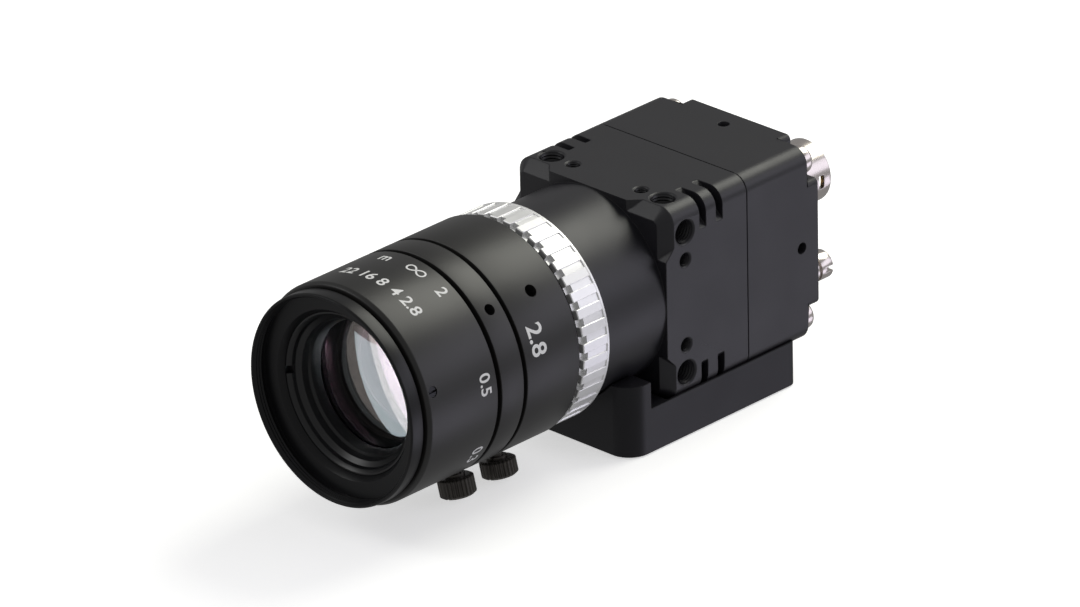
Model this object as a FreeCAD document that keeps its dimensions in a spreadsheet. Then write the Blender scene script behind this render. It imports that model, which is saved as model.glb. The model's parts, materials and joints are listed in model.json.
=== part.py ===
import FreeCAD, Part
import math
import os
import Sketcher

# Machine vision camera with a manual C-mount lens on a tripod base.
# Millimetres, +Z up, the lens looks along -Y, origin at the mouth of the tripod thread.

SIZES = {
    # shared frame
    "axis_height": 20.6,
    "seam_back": 8.0,
    # fits
    "running_gap": 0.05,
    "thread_gap": 0.05,
    "seat_gap": 0.05,
    # housings, measured from the seam between them and from the lens axis
    "housing_half": 15.0,
    "edge_round": 2.5,
    "front_depth": 16.75,
    "front_bevel": 1.7,
    "front_flat_half": 7.45,
    "nose_radius": 14.8,
    "nose_bevel": 0.3,
    "flange_depth": 29.7,
    "flange_focal": 17.526,
    "mount_thread_radius": 12.7,
    "mount_bore_depth": 5.5,
    "filter_seat_radius": 9.5,
    "filter_seat_depth": 18.7,
    "tunnel_radius": 8.2,
    "front_floor_depth": 14.0,
    "chamber_radius": 12.2,
    "ledge_depth": 8.0,
    "side_wall": 1.8,
    "arm_half": 9.0,
    "rear_depth": 14.87,
    "rear_wall": 1.5,
    # outside mounting threads
    "large_thread_radius": 1.65,
    "large_thread_depth": 3.5,
    "side_large_spread": 10.9,
    "top_large_spread": 10.8,
    "small_thread_radius": 0.85,
    "small_thread_depth": 3.0,
    "small_thread_spread": 6.6,
    "thread_row_depth": 12.8,
    "thread_lead": 0.35,
    "rear_thread_back": 11.4,
    "rear_thread_depth": 1.3,
    # cooling slots across the long edges
    "slot_reach": 25.3,
    "slot_width": 1.3,
    "slot_first_depth": 5.7,
    "slot_pitch": 3.4,
    # rear corner notches and their screws
    "notch_side": 9.8,
    "notch_depth": 2.22,
    "notch_round": 0.8,
    "corner_screw_spread": 12.2,
    "corner_screw_core": 1.0,
    "corner_screw_engaged": 4.4,
    "corner_screw_clearance": 1.35,
    "corner_head_radius": 2.15,
    "corner_head_height": 2.2,
    "corner_head_dome": 0.7,
    "corner_socket_radius": 0.85,
    "corner_socket_depth": 1.0,
    "tap_overrun": 0.5,
    # round power connector on the rear wall
    "plug_x": 5.3,
    "plug_z": 5.5,
    "plug_radius": 4.75,
    "plug_bore": 4.0,
    "plug_flange_radius": 5.0,
    "plug_flange_thick": 1.0,
    "plug_rear": 23.3,
    "plug_lead": 0.3,
    "plug_window_front": 20.6,
    "plug_window_length": 1.0,
    "plug_window_half": 1.0,
    "insulator_rear": 16.6,
    "contact_radius": 0.35,
    "contact_circle": 2.2,
    "contact_rear": 18.9,
    # data connector with two jack posts
    "data_drop": 6.5,
    "data_half_width": 8.0,
    "data_half_height": 2.6,
    "data_rear": 17.3,
    "data_wall": 0.7,
    "data_cavity_depth": 5.0,
    "data_round": 1.0,
    "tongue_half_width": 6.4,
    "tongue_half_height": 0.6,
    "tongue_rear": 16.3,
    "post_spread": 11.0,
    "post_radius": 2.15,
    "post_rear": 20.0,
    "post_core": 1.5,
    "post_bore": 1.0,
    "post_bore_depth": 3.5,
    "post_slot_width": 0.8,
    "post_slot_depth": 1.0,
    "post_groove_front": 17.2,
    "post_groove_width": 0.5,
    "post_groove_depth": 0.35,
    # boards and sensor
    "board_thick": 1.2,
    "board_half": 12.8,
    "board_arm": 8.6,
    "sensor_board_radius": 11.9,
    "sensor_half": 7.0,
    "sensor_rim": 0.85,
    "sensor_window_half": 5.8,
    "sensor_back_depth": 11.0,
    "cover_glass_thick": 0.5,
    "standoff_circle": 10.4,
    "standoff_radius": 1.3,
    "interface_front": 8.0,
    "spacer_spread_x": 10.8,
    "spacer_spread_z": 5.0,
    "spacer_radius": 1.5,
    "link_half_long": 6.0,
    "link_half_short": 1.6,
    "filter_thick": 1.0,
    "filter_ring_thick": 1.2,
    "filter_ring_bore": 8.4,
    # mounting base, measured like the housings
    "base_half": 15.2,
    "base_front": 24.85,
    "base_rear": 9.95,
    "lip_drop": 13.75,
    "riser_back": 20.4,
    "riser_drop": 9.64,
    "nose_clearance": 0.2,
    "base_front_round": 3.5,
    "base_rear_round": 1.5,
    "base_screw_core": 1.6,
    "base_screw_clearance": 2.15,
    "base_screw_engaged": 2.6,
    "base_head_radius": 3.5,
    "base_head_height": 2.2,
    "base_socket_radius": 1.4,
    "base_socket_depth": 1.2,
    "counterbore_radius": 3.6,
    "counterbore_depth": 2.8,
    "tripod_radius": 3.175,
    "tripod_depth": 5.0,
    # lens, distances forward of the mounting flange
    "grip_step": 0.25,
    "grip_tooth": 0.55,
    "grip_front": 5.2,
    "grip_collar": 0.45,
    "grip_teeth": 40,
    "grip_notch_half": 0.41,
    "grip_phase": 7.7,
    "mount_thread_length": 3.8,
    "mount_relief_length": 0.7,
    "mount_relief_radius": 12.0,
    "mount_back_bore": 10.4,
    "spigot_radius": 11.6,
    "spigot_back": 1.5,
    "neck_step": 1.0,
    "neck_front": 6.1,
    "skirt_wall": 1.25,
    "barrel_wall": 0.45,
    "barrel_front": 27.0,
    "cell_bore": 10.6,
    "ring_radius": 16.45,
    "ring_bevel": 0.3,
    "iris_ring_back": 6.3,
    "iris_ring_front": 16.8,
    "index_back": 17.5,
    "index_web": 0.6,
    "index_wall": 1.8,
    "index_front": 21.9,
    "focus_back": 22.7,
    "focus_front": 36.3,
    "focus_bevel": 0.45,
    "focus_skirt_back": 18.3,
    "focus_guide_end": 26.0,
    "helicoid_back": 27.3,
    "focus_wall": 1.85,
    "helicoid_front": 35.9,
    # angles about the lens axis, from +X towards +Z
    "lock_angle": -75.0,
    "set_angle": 42.0,
    "focus_set_angle": 17.2,
    "guide_angle": 90.0,
    "iris_pin_angle": 5.0,
    "iris_slot_angle": 85.0,
    # axial stops, guide pin and drive pin
    "guide_groove_y": 19.7,
    "guide_groove_half": 0.4,
    "guide_groove_depth": 0.45,
    "dog_gap": 0.1,
    "set_screw_radius": 0.75,
    "set_screw_sink": 0.15,
    "set_slot_width": 0.3,
    "set_slot_depth": 0.4,
    "iris_set_y": 11.5,
    "iris_set_reach": 1.45,
    "focus_set_y": 34.7,
    "focus_set_count": 3,
    "focus_set_reach": 1.15,
    "guide_pin_y": 24.0,
    "guide_pin_radius": 0.75,
    "guide_pin_gap": 0.15,
    "guide_slot_overrun": 0.1,
    "focus_travel": 2.26,
    "drive_pin_y": 14.75,
    "drive_pin_radius": 0.35,
    "drive_slot_gap": 0.1,
    "drive_pin_bite": 0.67,
    "drive_pin_sink": 0.95,
    # knurled lock screws
    "focus_lock_y": 19.7,
    "iris_lock_y": 11.3,
    "lock_core": 1.0,
    "lock_focus_tip_gap": 0.15,
    "lock_iris_tip_gap": 0.3,
    "lock_focus_stand": 1.15,
    "lock_iris_stand": 1.45,
    "lock_neck": 1.5,
    "lock_head_radius": 2.65,
    "lock_head_reach": 4.15,
    "lock_head_bevel": 0.35,
    "lock_knurl_count": 24,
    "lock_knurl_half": 0.16,
    "lock_knurl_depth": 0.2,
    "lock_slot_width": 0.6,
    "lock_slot_depth": 0.7,
    # moving front barrel and its glass
    "rim_wall": 0.75,
    "rim_back": 36.7,
    "rim_front": 39.1,
    "rim_bevel": 0.15,
    "filter_thread_radius": 15.0,
    "filter_thread_floor": 36.8,
    "mouth_step": 0.65,
    "retainer_seat": 0.8,
    "retainer_front": 35.85,
    "retainer_step": 1.55,
    "retainer_step_y": 34.2,
    "retainer_back": 31.45,
    "retainer_notch_half": 0.6,
    "retainer_notch_depth": 0.9,
    "window_lip": 1.7,
    "skirt_back": 17.3,
    "front_web": 28.2,
    "front_wall": 1.75,
    "glass_seat": 31.2,
    "glass_lip_front": 23.0,
    "glass_lip_back": 22.0,
    "glass_lip": 1.8,
    "skirt_relief": 0.95,
    "front_vertex": 32.84,
    "front_curve": 30.0,
    "front_glass_back": 28.4,
    "front_hollow_curve": 45.0,
    "front_hollow_vertex": 29.48,
    "spacer_front": 28.35,
    "spacer_back": 27.45,
    "spacer_wall": 1.0,
    "second_vertex": 28.7,
    "second_curve": 40.0,
    "second_back": 23.05,
    "second_hollow_curve": 16.0,
    "second_hollow_vertex": 25.2,
    # iris
    "iris_seat_back": 12.5,
    "iris_seat_front": 13.1,
    "iris_seat_bore": 7.7,
    "iris_blades": 6,
    "blade_inner": 7.6,
    "blade_tip_step": 1.3,
    "blade_span": 115.0,
    "blade_thick": 0.15,
    "blade_pitch": 0.2,
    "blade_first": 13.15,
    "blade_pivot_step": 0.5,
    "blade_pivot_z": 0.7,
    "blade_ear_lap": 0.7,
    "blade_ear_gap": 0.65,
    "blade_ear_width": 1.4,
    "blade_pin_radius": 0.35,
    "blade_pin_back": 12.6,
    "rotor_back": 14.45,
    "rotor_front": 15.05,
    "rotor_gap": 0.08,
    "rotor_bore": 7.9,
    "iris_retainer_back": 15.15,
    "iris_retainer_front": 15.65,
    # rear glass
    "cell_front": 12.4,
    "cell_step": 5.4,
    "cell_tail_radius": 10.2,
    "cell_lip": 7.4,
    "cell_lip_back": 11.9,
    "cell_back": -2.0,
    "rear_glass_radius": 8.6,
    "inner_front": 11.85,
    "inner_hollow_curve": 18.0,
    "inner_hollow_vertex": 10.2,
    "inner_back": 8.7,
    "rear_spacer_back": 7.2,
    "rear_spacer_bore": 7.8,
    "outer_front_vertex": 8.16,
    "outer_back_vertex": 3.84,
    "outer_curve": 30.0,
    "rear_retainer_front": 4.7,
    "rear_retainer_back": 3.2,
}

LENS_AXIS = FreeCAD.Vector(0, -1, 0)
QUARTERS = ((1, 1), (-1, 1), (-1, -1), (1, -1))
FULL_TURN = 360.0
HEX_SIDES = 6
# how far a cut reaches past what it cuts, as a factor
OVERRUN = 1.2


class Size:
    """A length or angle: its number now, and the sheet formula that gives it."""

    def __init__(self, value, text):
        self.value = value
        self.text = text

    def joined(self, other, sign, value):
        return Size(value, "(%s %s %s)" % (self.text, sign, size(other).text))

    def __add__(self, other):
        return self.joined(other, "+", self.value + size(other).value)

    def __sub__(self, other):
        return self.joined(other, "-", self.value - size(other).value)

    def __mul__(self, other):
        return self.joined(other, "*", self.value * size(other).value)

    def __truediv__(self, other):
        return self.joined(other, "/", self.value / size(other).value)

    def __neg__(self):
        return Size(-self.value, "(-1 * %s)" % self.text)


class Sheet:
    """Gives every named size as a Size bound to the spreadsheet."""

    def __getattr__(self, name):
        return Size(float(SIZES[name]), "Sizes." + name)


def size(value):
    """A Size from a Size or from a plain count such as a sign or zero."""
    if isinstance(value, Size):
        return value
    return Size(float(value), repr(float(value)))


S = Sheet()
NONE = size(0)
doc = FreeCAD.newDocument("Camera")
sheet = doc.addObject("Spreadsheet::Sheet", "Sizes")
for row, (alias, number) in enumerate(SIZES.items(), start=1):
    sheet.set("A%d" % row, alias)
    sheet.set("B%d" % row, str(number))
    sheet.setAlias("B%d" % row, alias)
doc.recompute()

# radii and ends that follow others through a wall, a step or a clearance
S.grip_radius = S.ring_radius - S.grip_step
S.grip_root = S.grip_radius - S.grip_tooth
S.neck_radius = S.grip_radius - S.neck_step
S.index_bore = S.ring_radius - S.index_wall
S.helicoid_radius = S.ring_radius - S.focus_wall
S.barrel_radius = S.index_bore - S.skirt_wall
S.barrel_bore = S.barrel_radius - S.barrel_wall
S.skirt_bore = S.barrel_bore - S.skirt_relief
S.rim_radius = S.filter_thread_radius + S.rim_wall
S.front_glass_radius = S.barrel_bore - S.front_wall
S.glass_lip_radius = S.front_glass_radius - S.glass_lip
S.spacer_bore = S.front_glass_radius - S.spacer_wall
S.window_radius = S.front_glass_radius - S.window_lip
S.retainer_radius = S.front_glass_radius + S.retainer_seat
S.retainer_step_radius = S.retainer_radius - S.retainer_step
S.mouth_radius = S.retainer_radius + S.mouth_step
S.guide_groove_root = S.index_bore - S.guide_groove_depth
S.dog_end = S.guide_groove_root + S.dog_gap
S.guide_pin_tip = S.skirt_bore + S.guide_pin_gap
S.guide_slot_floor = S.skirt_bore - S.guide_slot_overrun
S.iris_set_seat = S.ring_radius - S.iris_set_reach
S.focus_set_seat = S.ring_radius - S.focus_set_reach
S.rotor_radius = S.barrel_bore - S.rotor_gap
S.drive_pin_tip = S.rotor_radius - S.drive_pin_bite
S.drive_pin_end = S.ring_radius - S.drive_pin_sink
S.drive_slot_half = S.drive_pin_radius + S.drive_slot_gap
S.blade_ear_outer = S.barrel_bore - S.blade_ear_gap
S.blade_pivot_x = S.blade_ear_outer - S.blade_pivot_step
S.blade_outer = S.blade_ear_outer - S.blade_tip_step
S.blade_ear_inner = S.blade_outer - S.blade_ear_lap
S.lock_focus_tip = S.index_bore + S.lock_focus_tip_gap
S.lock_iris_tip = S.barrel_radius + S.lock_iris_tip_gap
S.lock_focus_shoulder = S.ring_radius + S.lock_focus_stand
S.lock_iris_shoulder = S.ring_radius + S.lock_iris_stand
S.lock_head_end = S.ring_radius + S.lock_head_reach
S.lock_knurl_root = S.lock_head_radius - S.lock_knurl_depth

HOUSING = (NONE, S.seam_back, S.axis_height)
FLANGE = (NONE, S.seam_back - S.flange_depth, S.axis_height)
pieces = []


def place(thing, home, angle=NONE):
    """Tie a piece's Placement to the sheet: its home point and its turn about the lens axis."""
    spot = FreeCAD.Vector(*[c.value for c in home])
    thing.Placement = FreeCAD.Placement(spot, FreeCAD.Rotation(LENS_AXIS, angle.value))
    for letter, c in zip("xyz", home):
        thing.setExpression("Placement.Base.%s" % letter, c.text)
    if angle is not NONE:
        thing.setExpression("Placement.Rotation.Angle", angle.text)


def moved(home, x=NONE, y=NONE, z=NONE):
    return (home[0] + x, home[1] + y, home[2] + z)


def piece(label, home, angle=NONE):
    """A PartDesign body that is one file of the hand-in."""
    body = doc.addObject("PartDesign::Body", label)
    body.Label = label
    body.AllowCompound = True
    place(body, home, angle)
    pieces.append(body)
    return body


def sketch(body, plane, offset=NONE, angle=NONE):
    """A sketch on one of the body's own planes, lifted along or turned about the lens axis."""
    support = [o for o in body.Origin.OriginFeatures if o.Role == plane][0]
    drawn = body.newObject("Sketcher::SketchObject", body.Name + "_sketch")
    drawn.AttachmentSupport = [(support, "")]
    drawn.MapMode = "FlatFace"
    lift = FreeCAD.Vector(0, 0, offset.value)
    turn = FreeCAD.Rotation(FreeCAD.Vector(-1, 0, 0), angle.value)
    drawn.AttachmentOffset = FreeCAD.Placement(lift, turn)
    if offset is not NONE:
        drawn.setExpression("AttachmentOffset.Base.z", offset.text)
    if angle is not NONE:
        drawn.setExpression("AttachmentOffset.Rotation.Angle", angle.text)
    return drawn


def dimension(drawn, kind, where, wanted):
    """Add one driving dimension and bind it to the sheet."""
    wanted = size(wanted)
    index = drawn.addConstraint(Sketcher.Constraint(kind, *where, wanted.value))
    drawn.setExpression("Constraints[%d]" % index, wanted.text)


def pin(drawn, shape, vertex, point):
    dimension(drawn, "DistanceX", (-1, 1, shape, vertex), point[0])
    dimension(drawn, "DistanceY", (-1, 1, shape, vertex), point[1])


def vector(point):
    return FreeCAD.Vector(size(point[0]).value, size(point[1]).value, 0)


def polygon(drawn, points):
    """A closed outline whose corners are all held by the sheet."""
    first = drawn.GeometryCount
    count = len(points)
    for k in range(count):
        line = Part.LineSegment(vector(points[k]), vector(points[(k + 1) % count]))
        drawn.addGeometry(line, False)
    for k in range(count):
        follower = first + (k + 1) % count
        drawn.addConstraint(Sketcher.Constraint("Coincident", first + k, 2, follower, 1))
    for k in range(count):
        pin(drawn, first + k, 1, points[k])
    return drawn


def rectangle(drawn, low, high):
    return polygon(drawn, [low, (high[0], low[1]), high, (low[0], high[1])])


def circle(drawn, centre, radius):
    """A hole or boss outline."""
    up = FreeCAD.Vector(0, 0, 1)
    shape = drawn.addGeometry(Part.Circle(vector(centre), up, radius.value), False)
    dimension(drawn, "Radius", (shape,), radius)
    pin(drawn, shape, 3, centre)
    return drawn


def hexagon(drawn, centre, radius):
    corners = []
    for k in range(HEX_SIDES):
        turn = math.radians(FULL_TURN * k / HEX_SIDES)
        across = size(centre[0]) + radius * math.cos(turn)
        up = size(centre[1]) + radius * math.sin(turn)
        corners.append((across, up))
    return polygon(drawn, corners)


def sector(drawn, inner, outer, span):
    """Part of a flat ring, from the sketch's own x axis round by the span."""
    centre = FreeCAD.Vector()
    up = FreeCAD.Vector(0, 0, 1)
    sweep = math.radians(span.value)
    far = FreeCAD.Vector(math.cos(sweep), math.sin(sweep), 0)
    near = FreeCAD.Vector(1, 0, 0)
    arcs = []
    for radius in (outer, inner):
        arc = Part.ArcOfCircle(Part.Circle(centre, up, radius.value), 0, sweep)
        arcs.append(drawn.addGeometry(arc, False))
    root = drawn.addGeometry(Part.LineSegment(near * inner.value, near * outer.value), False)
    tip = drawn.addGeometry(Part.LineSegment(far * inner.value, far * outer.value), False)
    for arc, radius, end in ((arcs[0], outer, 2), (arcs[1], inner, 1)):
        drawn.addConstraint(Sketcher.Constraint("Coincident", arc, 3, -1, 1))
        dimension(drawn, "Radius", (arc,), radius)
        drawn.addConstraint(Sketcher.Constraint("Coincident", arc, 1, root, end))
        drawn.addConstraint(Sketcher.Constraint("Coincident", arc, 2, tip, end))
    drawn.addConstraint(Sketcher.Constraint("PointOnObject", root, 2, -1))
    drawn.addConstraint(Sketcher.Constraint("PointOnObject", root, 1, -1))
    drawn.addConstraint(Sketcher.Constraint("PointOnObject", -1, 1, tip))
    dimension(drawn, "Angle", (tip,), span)
    return drawn


def swept(body, kind, drawn, length, along_normal):
    """Pad or Pocket a sketch by a length; None sweeps a pocket through everything."""
    feature = body.newObject("PartDesign::" + kind, body.Name + "_" + kind.lower())
    feature.Profile = drawn
    feature.Reversed = along_normal == (kind == "Pocket")
    if length is None:
        feature.Type = "ThroughAll"
    else:
        feature.setExpression("Length", length.text)
    drawn.Visibility = False
    doc.recompute()
    return feature


def pad(body, drawn, length, along_normal=True):
    return swept(body, "Pad", drawn, length, along_normal)


def pocket(body, drawn, length=None, along_normal=True):
    return swept(body, "Pocket", drawn, length, along_normal)


def both_ways(feature):
    feature.SideType = "Symmetric"
    doc.recompute()
    return feature


def revolved(body, kind, drawn, axis="H_Axis", angle=None, reverse=False):
    feature = body.newObject("PartDesign::" + kind, body.Name + "_" + kind.lower())
    feature.Profile = drawn
    feature.ReferenceAxis = (drawn, [axis])
    feature.Angle = FULL_TURN
    feature.Reversed = reverse
    if angle is not None:
        feature.setExpression("Angle", angle.text)
    doc.recompute()
    return feature


def turned(label, home, points, angle=NONE):
    """A piece turned about the lens axis: points are (forward of home, radius)."""
    body = piece(label, home, angle)
    profile = [(-forward, radius) for forward, radius in points]
    revolved(body, "Revolution", polygon(sketch(body, "YZ_Plane"), profile))
    return body


def turned_radial(label, home, points, angle):
    """A piece turned about a line square to the lens axis: points are (reach, radius)."""
    body = piece(label, home, angle)
    revolved(body, "Revolution", polygon(sketch(body, "XY_Plane"), points))
    return body


def around(body, features, count, role="Y_Axis"):
    """Repeat features about the lens axis, or about another of the body's axes."""
    axis = [o for o in body.Origin.OriginFeatures if o.Role == role][0]
    pattern = body.newObject("PartDesign::PolarPattern", body.Name + "_around")
    pattern.Originals = features
    pattern.Axis = (axis, [""])
    pattern.Angle = FULL_TURN
    pattern.setExpression("Occurrences", count.text)
    body.Tip = pattern
    doc.recompute()
    return pattern


def edges(feature, test):
    return ["Edge%d" % k for k, e in enumerate(feature.Shape.Edges, start=1) if test(e)]


def dress(body, kind, wanted, test):
    """Fillet or Chamfer the edges of the body's tip that pass a test."""
    base = body.Tip
    feature = body.newObject("PartDesign::" + kind, body.Name + "_" + kind.lower())
    feature.Base = (base, edges(base, test))
    feature.setExpression("Radius" if kind == "Fillet" else "Size", wanted.text)
    doc.recompute()
    return feature


def near(value, wanted):
    return abs(value - wanted.value) < S.seat_gap.value / 2


def runs(edge, direction):
    """True for a straight edge along x, y or z."""
    if len(edge.Vertexes) != 2:
        return False
    if edge.Curve.TypeId != "Part::GeomLine":
        return False
    return abs(getattr(edge.Curve.Direction, direction)) > 0.999


def radial_hole(body, forward, radius, angle, reach=None):
    """A round hole square to the lens axis, from the axis outwards."""
    drawn = sketch(body, "YZ_Plane", NONE, angle)
    return pocket(body, circle(drawn, (-forward, NONE), radius), reach)


def plus_outline(drawn, half, arm):
    """A square board or chamber outline with its four corners left out."""
    points = []
    for sx, sz in QUARTERS:
        corner = [(half * sx, arm * sz), (arm * sx, arm * sz), (arm * sx, half * sz)]
        points += corner if sx * sz > 0 else corner[::-1]
    return polygon(drawn, points)


def ring_points(front, back, outer, inner, front_bevel, back_bevel):
    """Section of a plain ring with bevelled outer edges, as (forward, radius)."""
    return [
        (back, inner),
        (back, outer - back_bevel),
        (back + back_bevel, outer),
        (front - front_bevel, outer),
        (front, outer - front_bevel),
        (front, inner),
    ]


def washer(label, home, front, back, outer, inner, angle=NONE):
    points = [(back, inner), (back, outer), (front, outer), (front, inner)]
    return turned(label, home, points, angle)


def thread_faces(body, plane, spots, radius, depth):
    """Tapped holes entering both opposite faces of the housing square to the plane."""
    for sign in (1, -1):
        drawn = sketch(body, plane, S.housing_half * sign)
        for spot in spots:
            circle(drawn, spot, radius)
        pocket(body, drawn, depth, along_normal=sign < 0)


def housing_block(body, depth, forward):
    """The square extrusion both housings start from, its long edges rounded."""
    half = S.housing_half
    drawn = rectangle(sketch(body, "XZ_Plane"), (-half, -half), (half, half))
    pad(body, drawn, depth, along_normal=forward)
    dress(body, "Fillet", S.edge_round, lambda e: runs(e, "y"))


def front_flats(body):
    """Bevel the front rim, then bring the middle of each side forward to the full square."""
    rim = S.front_depth
    dress(body, "Chamfer", S.front_bevel, lambda e: near(-e.CenterOfMass.y, rim))
    start = S.front_bevel - S.front_depth
    wide = S.front_flat_half + S.front_bevel
    outline = [
        (-S.front_depth, -S.front_flat_half),
        (-S.front_depth, S.front_flat_half),
        (start, wide),
        (start, -wide),
    ]
    both_ways(pad(body, polygon(sketch(body, "YZ_Plane"), outline), S.housing_half * 2))
    flipped = [(across, along) for along, across in outline]
    both_ways(pad(body, polygon(sketch(body, "XY_Plane"), flipped), S.housing_half * 2))


def cooling_slots(body):
    """Two straight cuts across each long edge."""
    out = S.housing_half + S.slot_width
    inner = S.slot_reach - out
    for step in (0, 1):
        start = S.slot_first_depth + S.slot_pitch * step - S.slot_width / 2
        drawn = sketch(body, "XZ_Plane", start)
        for sx, sz in QUARTERS:
            corner = [(inner * sx, out * sz), (out * sx, out * sz), (out * sx, inner * sz)]
            polygon(drawn, corner)
        pocket(body, drawn, S.slot_width)


def corner_circles(drawn, spread, radius):
    for sx, sz in QUARTERS:
        circle(drawn, (spread * sx, spread * sz), radius)
    return drawn


def front_housing():
    """Square front half with the round nose, bored for the lens thread and the sensor."""
    body = piece("front_housing", HOUSING)
    housing_block(body, S.front_depth, forward=True)
    front_flats(body)
    drawn = circle(sketch(body, "XZ_Plane", S.front_depth), (NONE, NONE), S.nose_radius)
    pad(body, drawn, S.flange_depth - S.front_depth)
    dress(body, "Chamfer", S.nose_bevel, lambda e: near(-e.CenterOfMass.y, S.flange_depth))
    thread_floor = S.flange_depth - S.mount_bore_depth
    bore = [
        (-S.flange_depth, NONE),
        (-S.flange_depth, S.mount_thread_radius),
        (-thread_floor, S.mount_thread_radius),
        (-thread_floor, S.filter_seat_radius),
        (-S.filter_seat_depth, S.filter_seat_radius),
        (-S.filter_seat_depth, S.tunnel_radius),
        (-S.front_floor_depth, S.tunnel_radius),
        (-S.front_floor_depth, S.chamber_radius),
        (NONE, S.chamber_radius),
        (NONE, NONE),
    ]
    revolved(body, "Groove", polygon(sketch(body, "YZ_Plane"), bore))
    inside = S.housing_half - S.side_wall
    pocket(body, plus_outline(sketch(body, "XZ_Plane"), inside, S.arm_half), S.ledge_depth)
    taps = corner_circles(sketch(body, "XZ_Plane"), S.corner_screw_spread,
                          S.corner_screw_core + S.thread_gap)
    pocket(body, taps, S.corner_screw_engaged + S.tap_overrun)
    row = -S.thread_row_depth
    side_large = [(row, S.side_large_spread * s) for s in (1, -1)]
    top_large = [(S.top_large_spread * s, row) for s in (1, -1)]
    side_small = [(row, S.small_thread_spread * s) for s in (1, -1)]
    top_small = [(S.small_thread_spread * s, row) for s in (1, -1)]
    for plane, large, small in (("YZ_Plane", side_large, side_small),
                                ("XY_Plane", top_large, top_small)):
        thread_faces(body, plane, large, S.large_thread_radius, S.large_thread_depth)
        thread_faces(body, plane, small, S.small_thread_radius, S.small_thread_depth)
    dress(body, "Chamfer", S.thread_lead, lambda e: on_outer_face(e, row))
    cooling_slots(body)


def on_outer_face(edge, row):
    """True for the mouth of a tapped hole on one of the four outer faces."""
    if edge.Curve.TypeId != "Part::GeomCircle":
        return False
    centre = edge.Curve.Center
    outermost = max(abs(centre.x), abs(centre.z))
    return near(centre.y, row) and near(outermost, S.housing_half)


def rear_openings(body):
    """Holes through the rear wall for the connectors and jack posts."""
    drawn = sketch(body, "XZ_Plane", -S.rear_depth)
    circle(drawn, (S.plug_x, S.plug_z), S.plug_radius + S.seat_gap)
    wide = S.data_half_width + S.seat_gap
    tall = S.data_half_height + S.seat_gap
    low = (-wide, -S.data_drop - tall)
    rectangle(drawn, low, (wide, tall - S.data_drop))
    for sign in (1, -1):
        circle(drawn, (S.post_spread * sign, -S.data_drop), S.post_core + S.seat_gap)
    pocket(body, drawn, S.rear_wall)


def protrudes(edge):
    """True for the outer corners left standing beside the rear notches."""
    spot = edge.CenterOfMass
    outer = max(abs(spot.x), abs(spot.z))
    inner = min(abs(spot.x), abs(spot.z))
    return runs(edge, "y") and near(outer, S.housing_half) and near(inner, S.notch_side)


def rear_housing():
    """Square rear half with notched corners for its screws."""
    body = piece("rear_housing", HOUSING)
    housing_block(body, S.rear_depth, forward=False)
    inside = S.housing_half - S.side_wall
    cavity = plus_outline(sketch(body, "XZ_Plane"), inside, S.arm_half)
    pocket(body, cavity, S.rear_depth - S.rear_wall, along_normal=False)
    drawn = sketch(body, "XZ_Plane", -S.rear_depth)
    out = S.housing_half + S.notch_round
    for sx, sz in QUARTERS:
        low = (S.notch_side * sx, S.notch_side * sz)
        rectangle(drawn, low, (out * sx, out * sz))
    pocket(body, drawn, S.notch_depth)
    dress(body, "Fillet", S.notch_round, protrudes)
    holes = corner_circles(sketch(body, "XZ_Plane"), S.corner_screw_spread,
                           S.corner_screw_clearance)
    pocket(body, holes, S.rear_depth, along_normal=False)
    back = S.rear_thread_back
    for plane in ("YZ_Plane", "XY_Plane"):
        spot = (back, NONE) if plane == "YZ_Plane" else (NONE, back)
        thread_faces(body, plane, [spot], S.small_thread_radius, S.rear_thread_depth)
    rear_openings(body)


def rear_screws():
    """Four domed corner screws holding the two housings together."""
    body = piece("rear_screws", HOUSING)
    seat = S.rear_depth - S.notch_depth
    spread = S.corner_screw_spread
    heads = corner_circles(sketch(body, "XZ_Plane", -seat), spread, S.corner_head_radius)
    pad(body, heads, S.corner_head_height, along_normal=False)
    top = seat + S.corner_head_height
    dress(body, "Fillet", S.corner_head_dome, lambda e: near(e.CenterOfMass.y, top))
    shanks = corner_circles(sketch(body, "XZ_Plane", -seat), spread, S.corner_screw_core)
    pad(body, shanks, seat + S.corner_screw_engaged)
    sockets = sketch(body, "XZ_Plane", -top)
    for sx, sz in QUARTERS:
        hexagon(sockets, (spread * sx, spread * sz), S.corner_socket_radius)
    pocket(body, sockets, S.corner_socket_depth)


def mounting_base():
    """Tripod base: a cradle under the housing and a riser under the nose."""
    body = piece("mounting_base", HOUSING)
    outline = [
        (-S.base_front, -S.axis_height),
        (S.base_rear, -S.axis_height),
        (S.base_rear, -S.lip_drop),
        (-S.riser_back, -S.lip_drop),
        (-S.riser_back, -S.riser_drop),
        (-S.base_front, -S.riser_drop),
    ]
    both_ways(pad(body, polygon(sketch(body, "YZ_Plane"), outline), S.base_half * 2))
    dress(body, "Fillet", S.base_front_round, lambda e: upright(e, -S.base_front))
    dress(body, "Fillet", S.base_rear_round, lambda e: upright(e, S.base_rear))
    cradle(body)
    reach = S.nose_radius + S.nose_clearance
    nose = circle(sketch(body, "XZ_Plane", S.front_depth), (NONE, NONE), reach)
    pocket(body, nose)
    spots = base_spots()
    under = -S.axis_height
    for radius, depth in ((S.counterbore_radius, S.counterbore_depth),
                          (S.base_screw_clearance, S.axis_height - S.housing_half)):
        drawn = sketch(body, "XY_Plane", under)
        for spot in spots:
            circle(drawn, spot, radius)
        pocket(body, drawn, depth)
    thread = circle(sketch(body, "XY_Plane", under), (NONE, -S.seam_back), S.tripod_radius)
    pocket(body, thread, S.tripod_depth)


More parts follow.
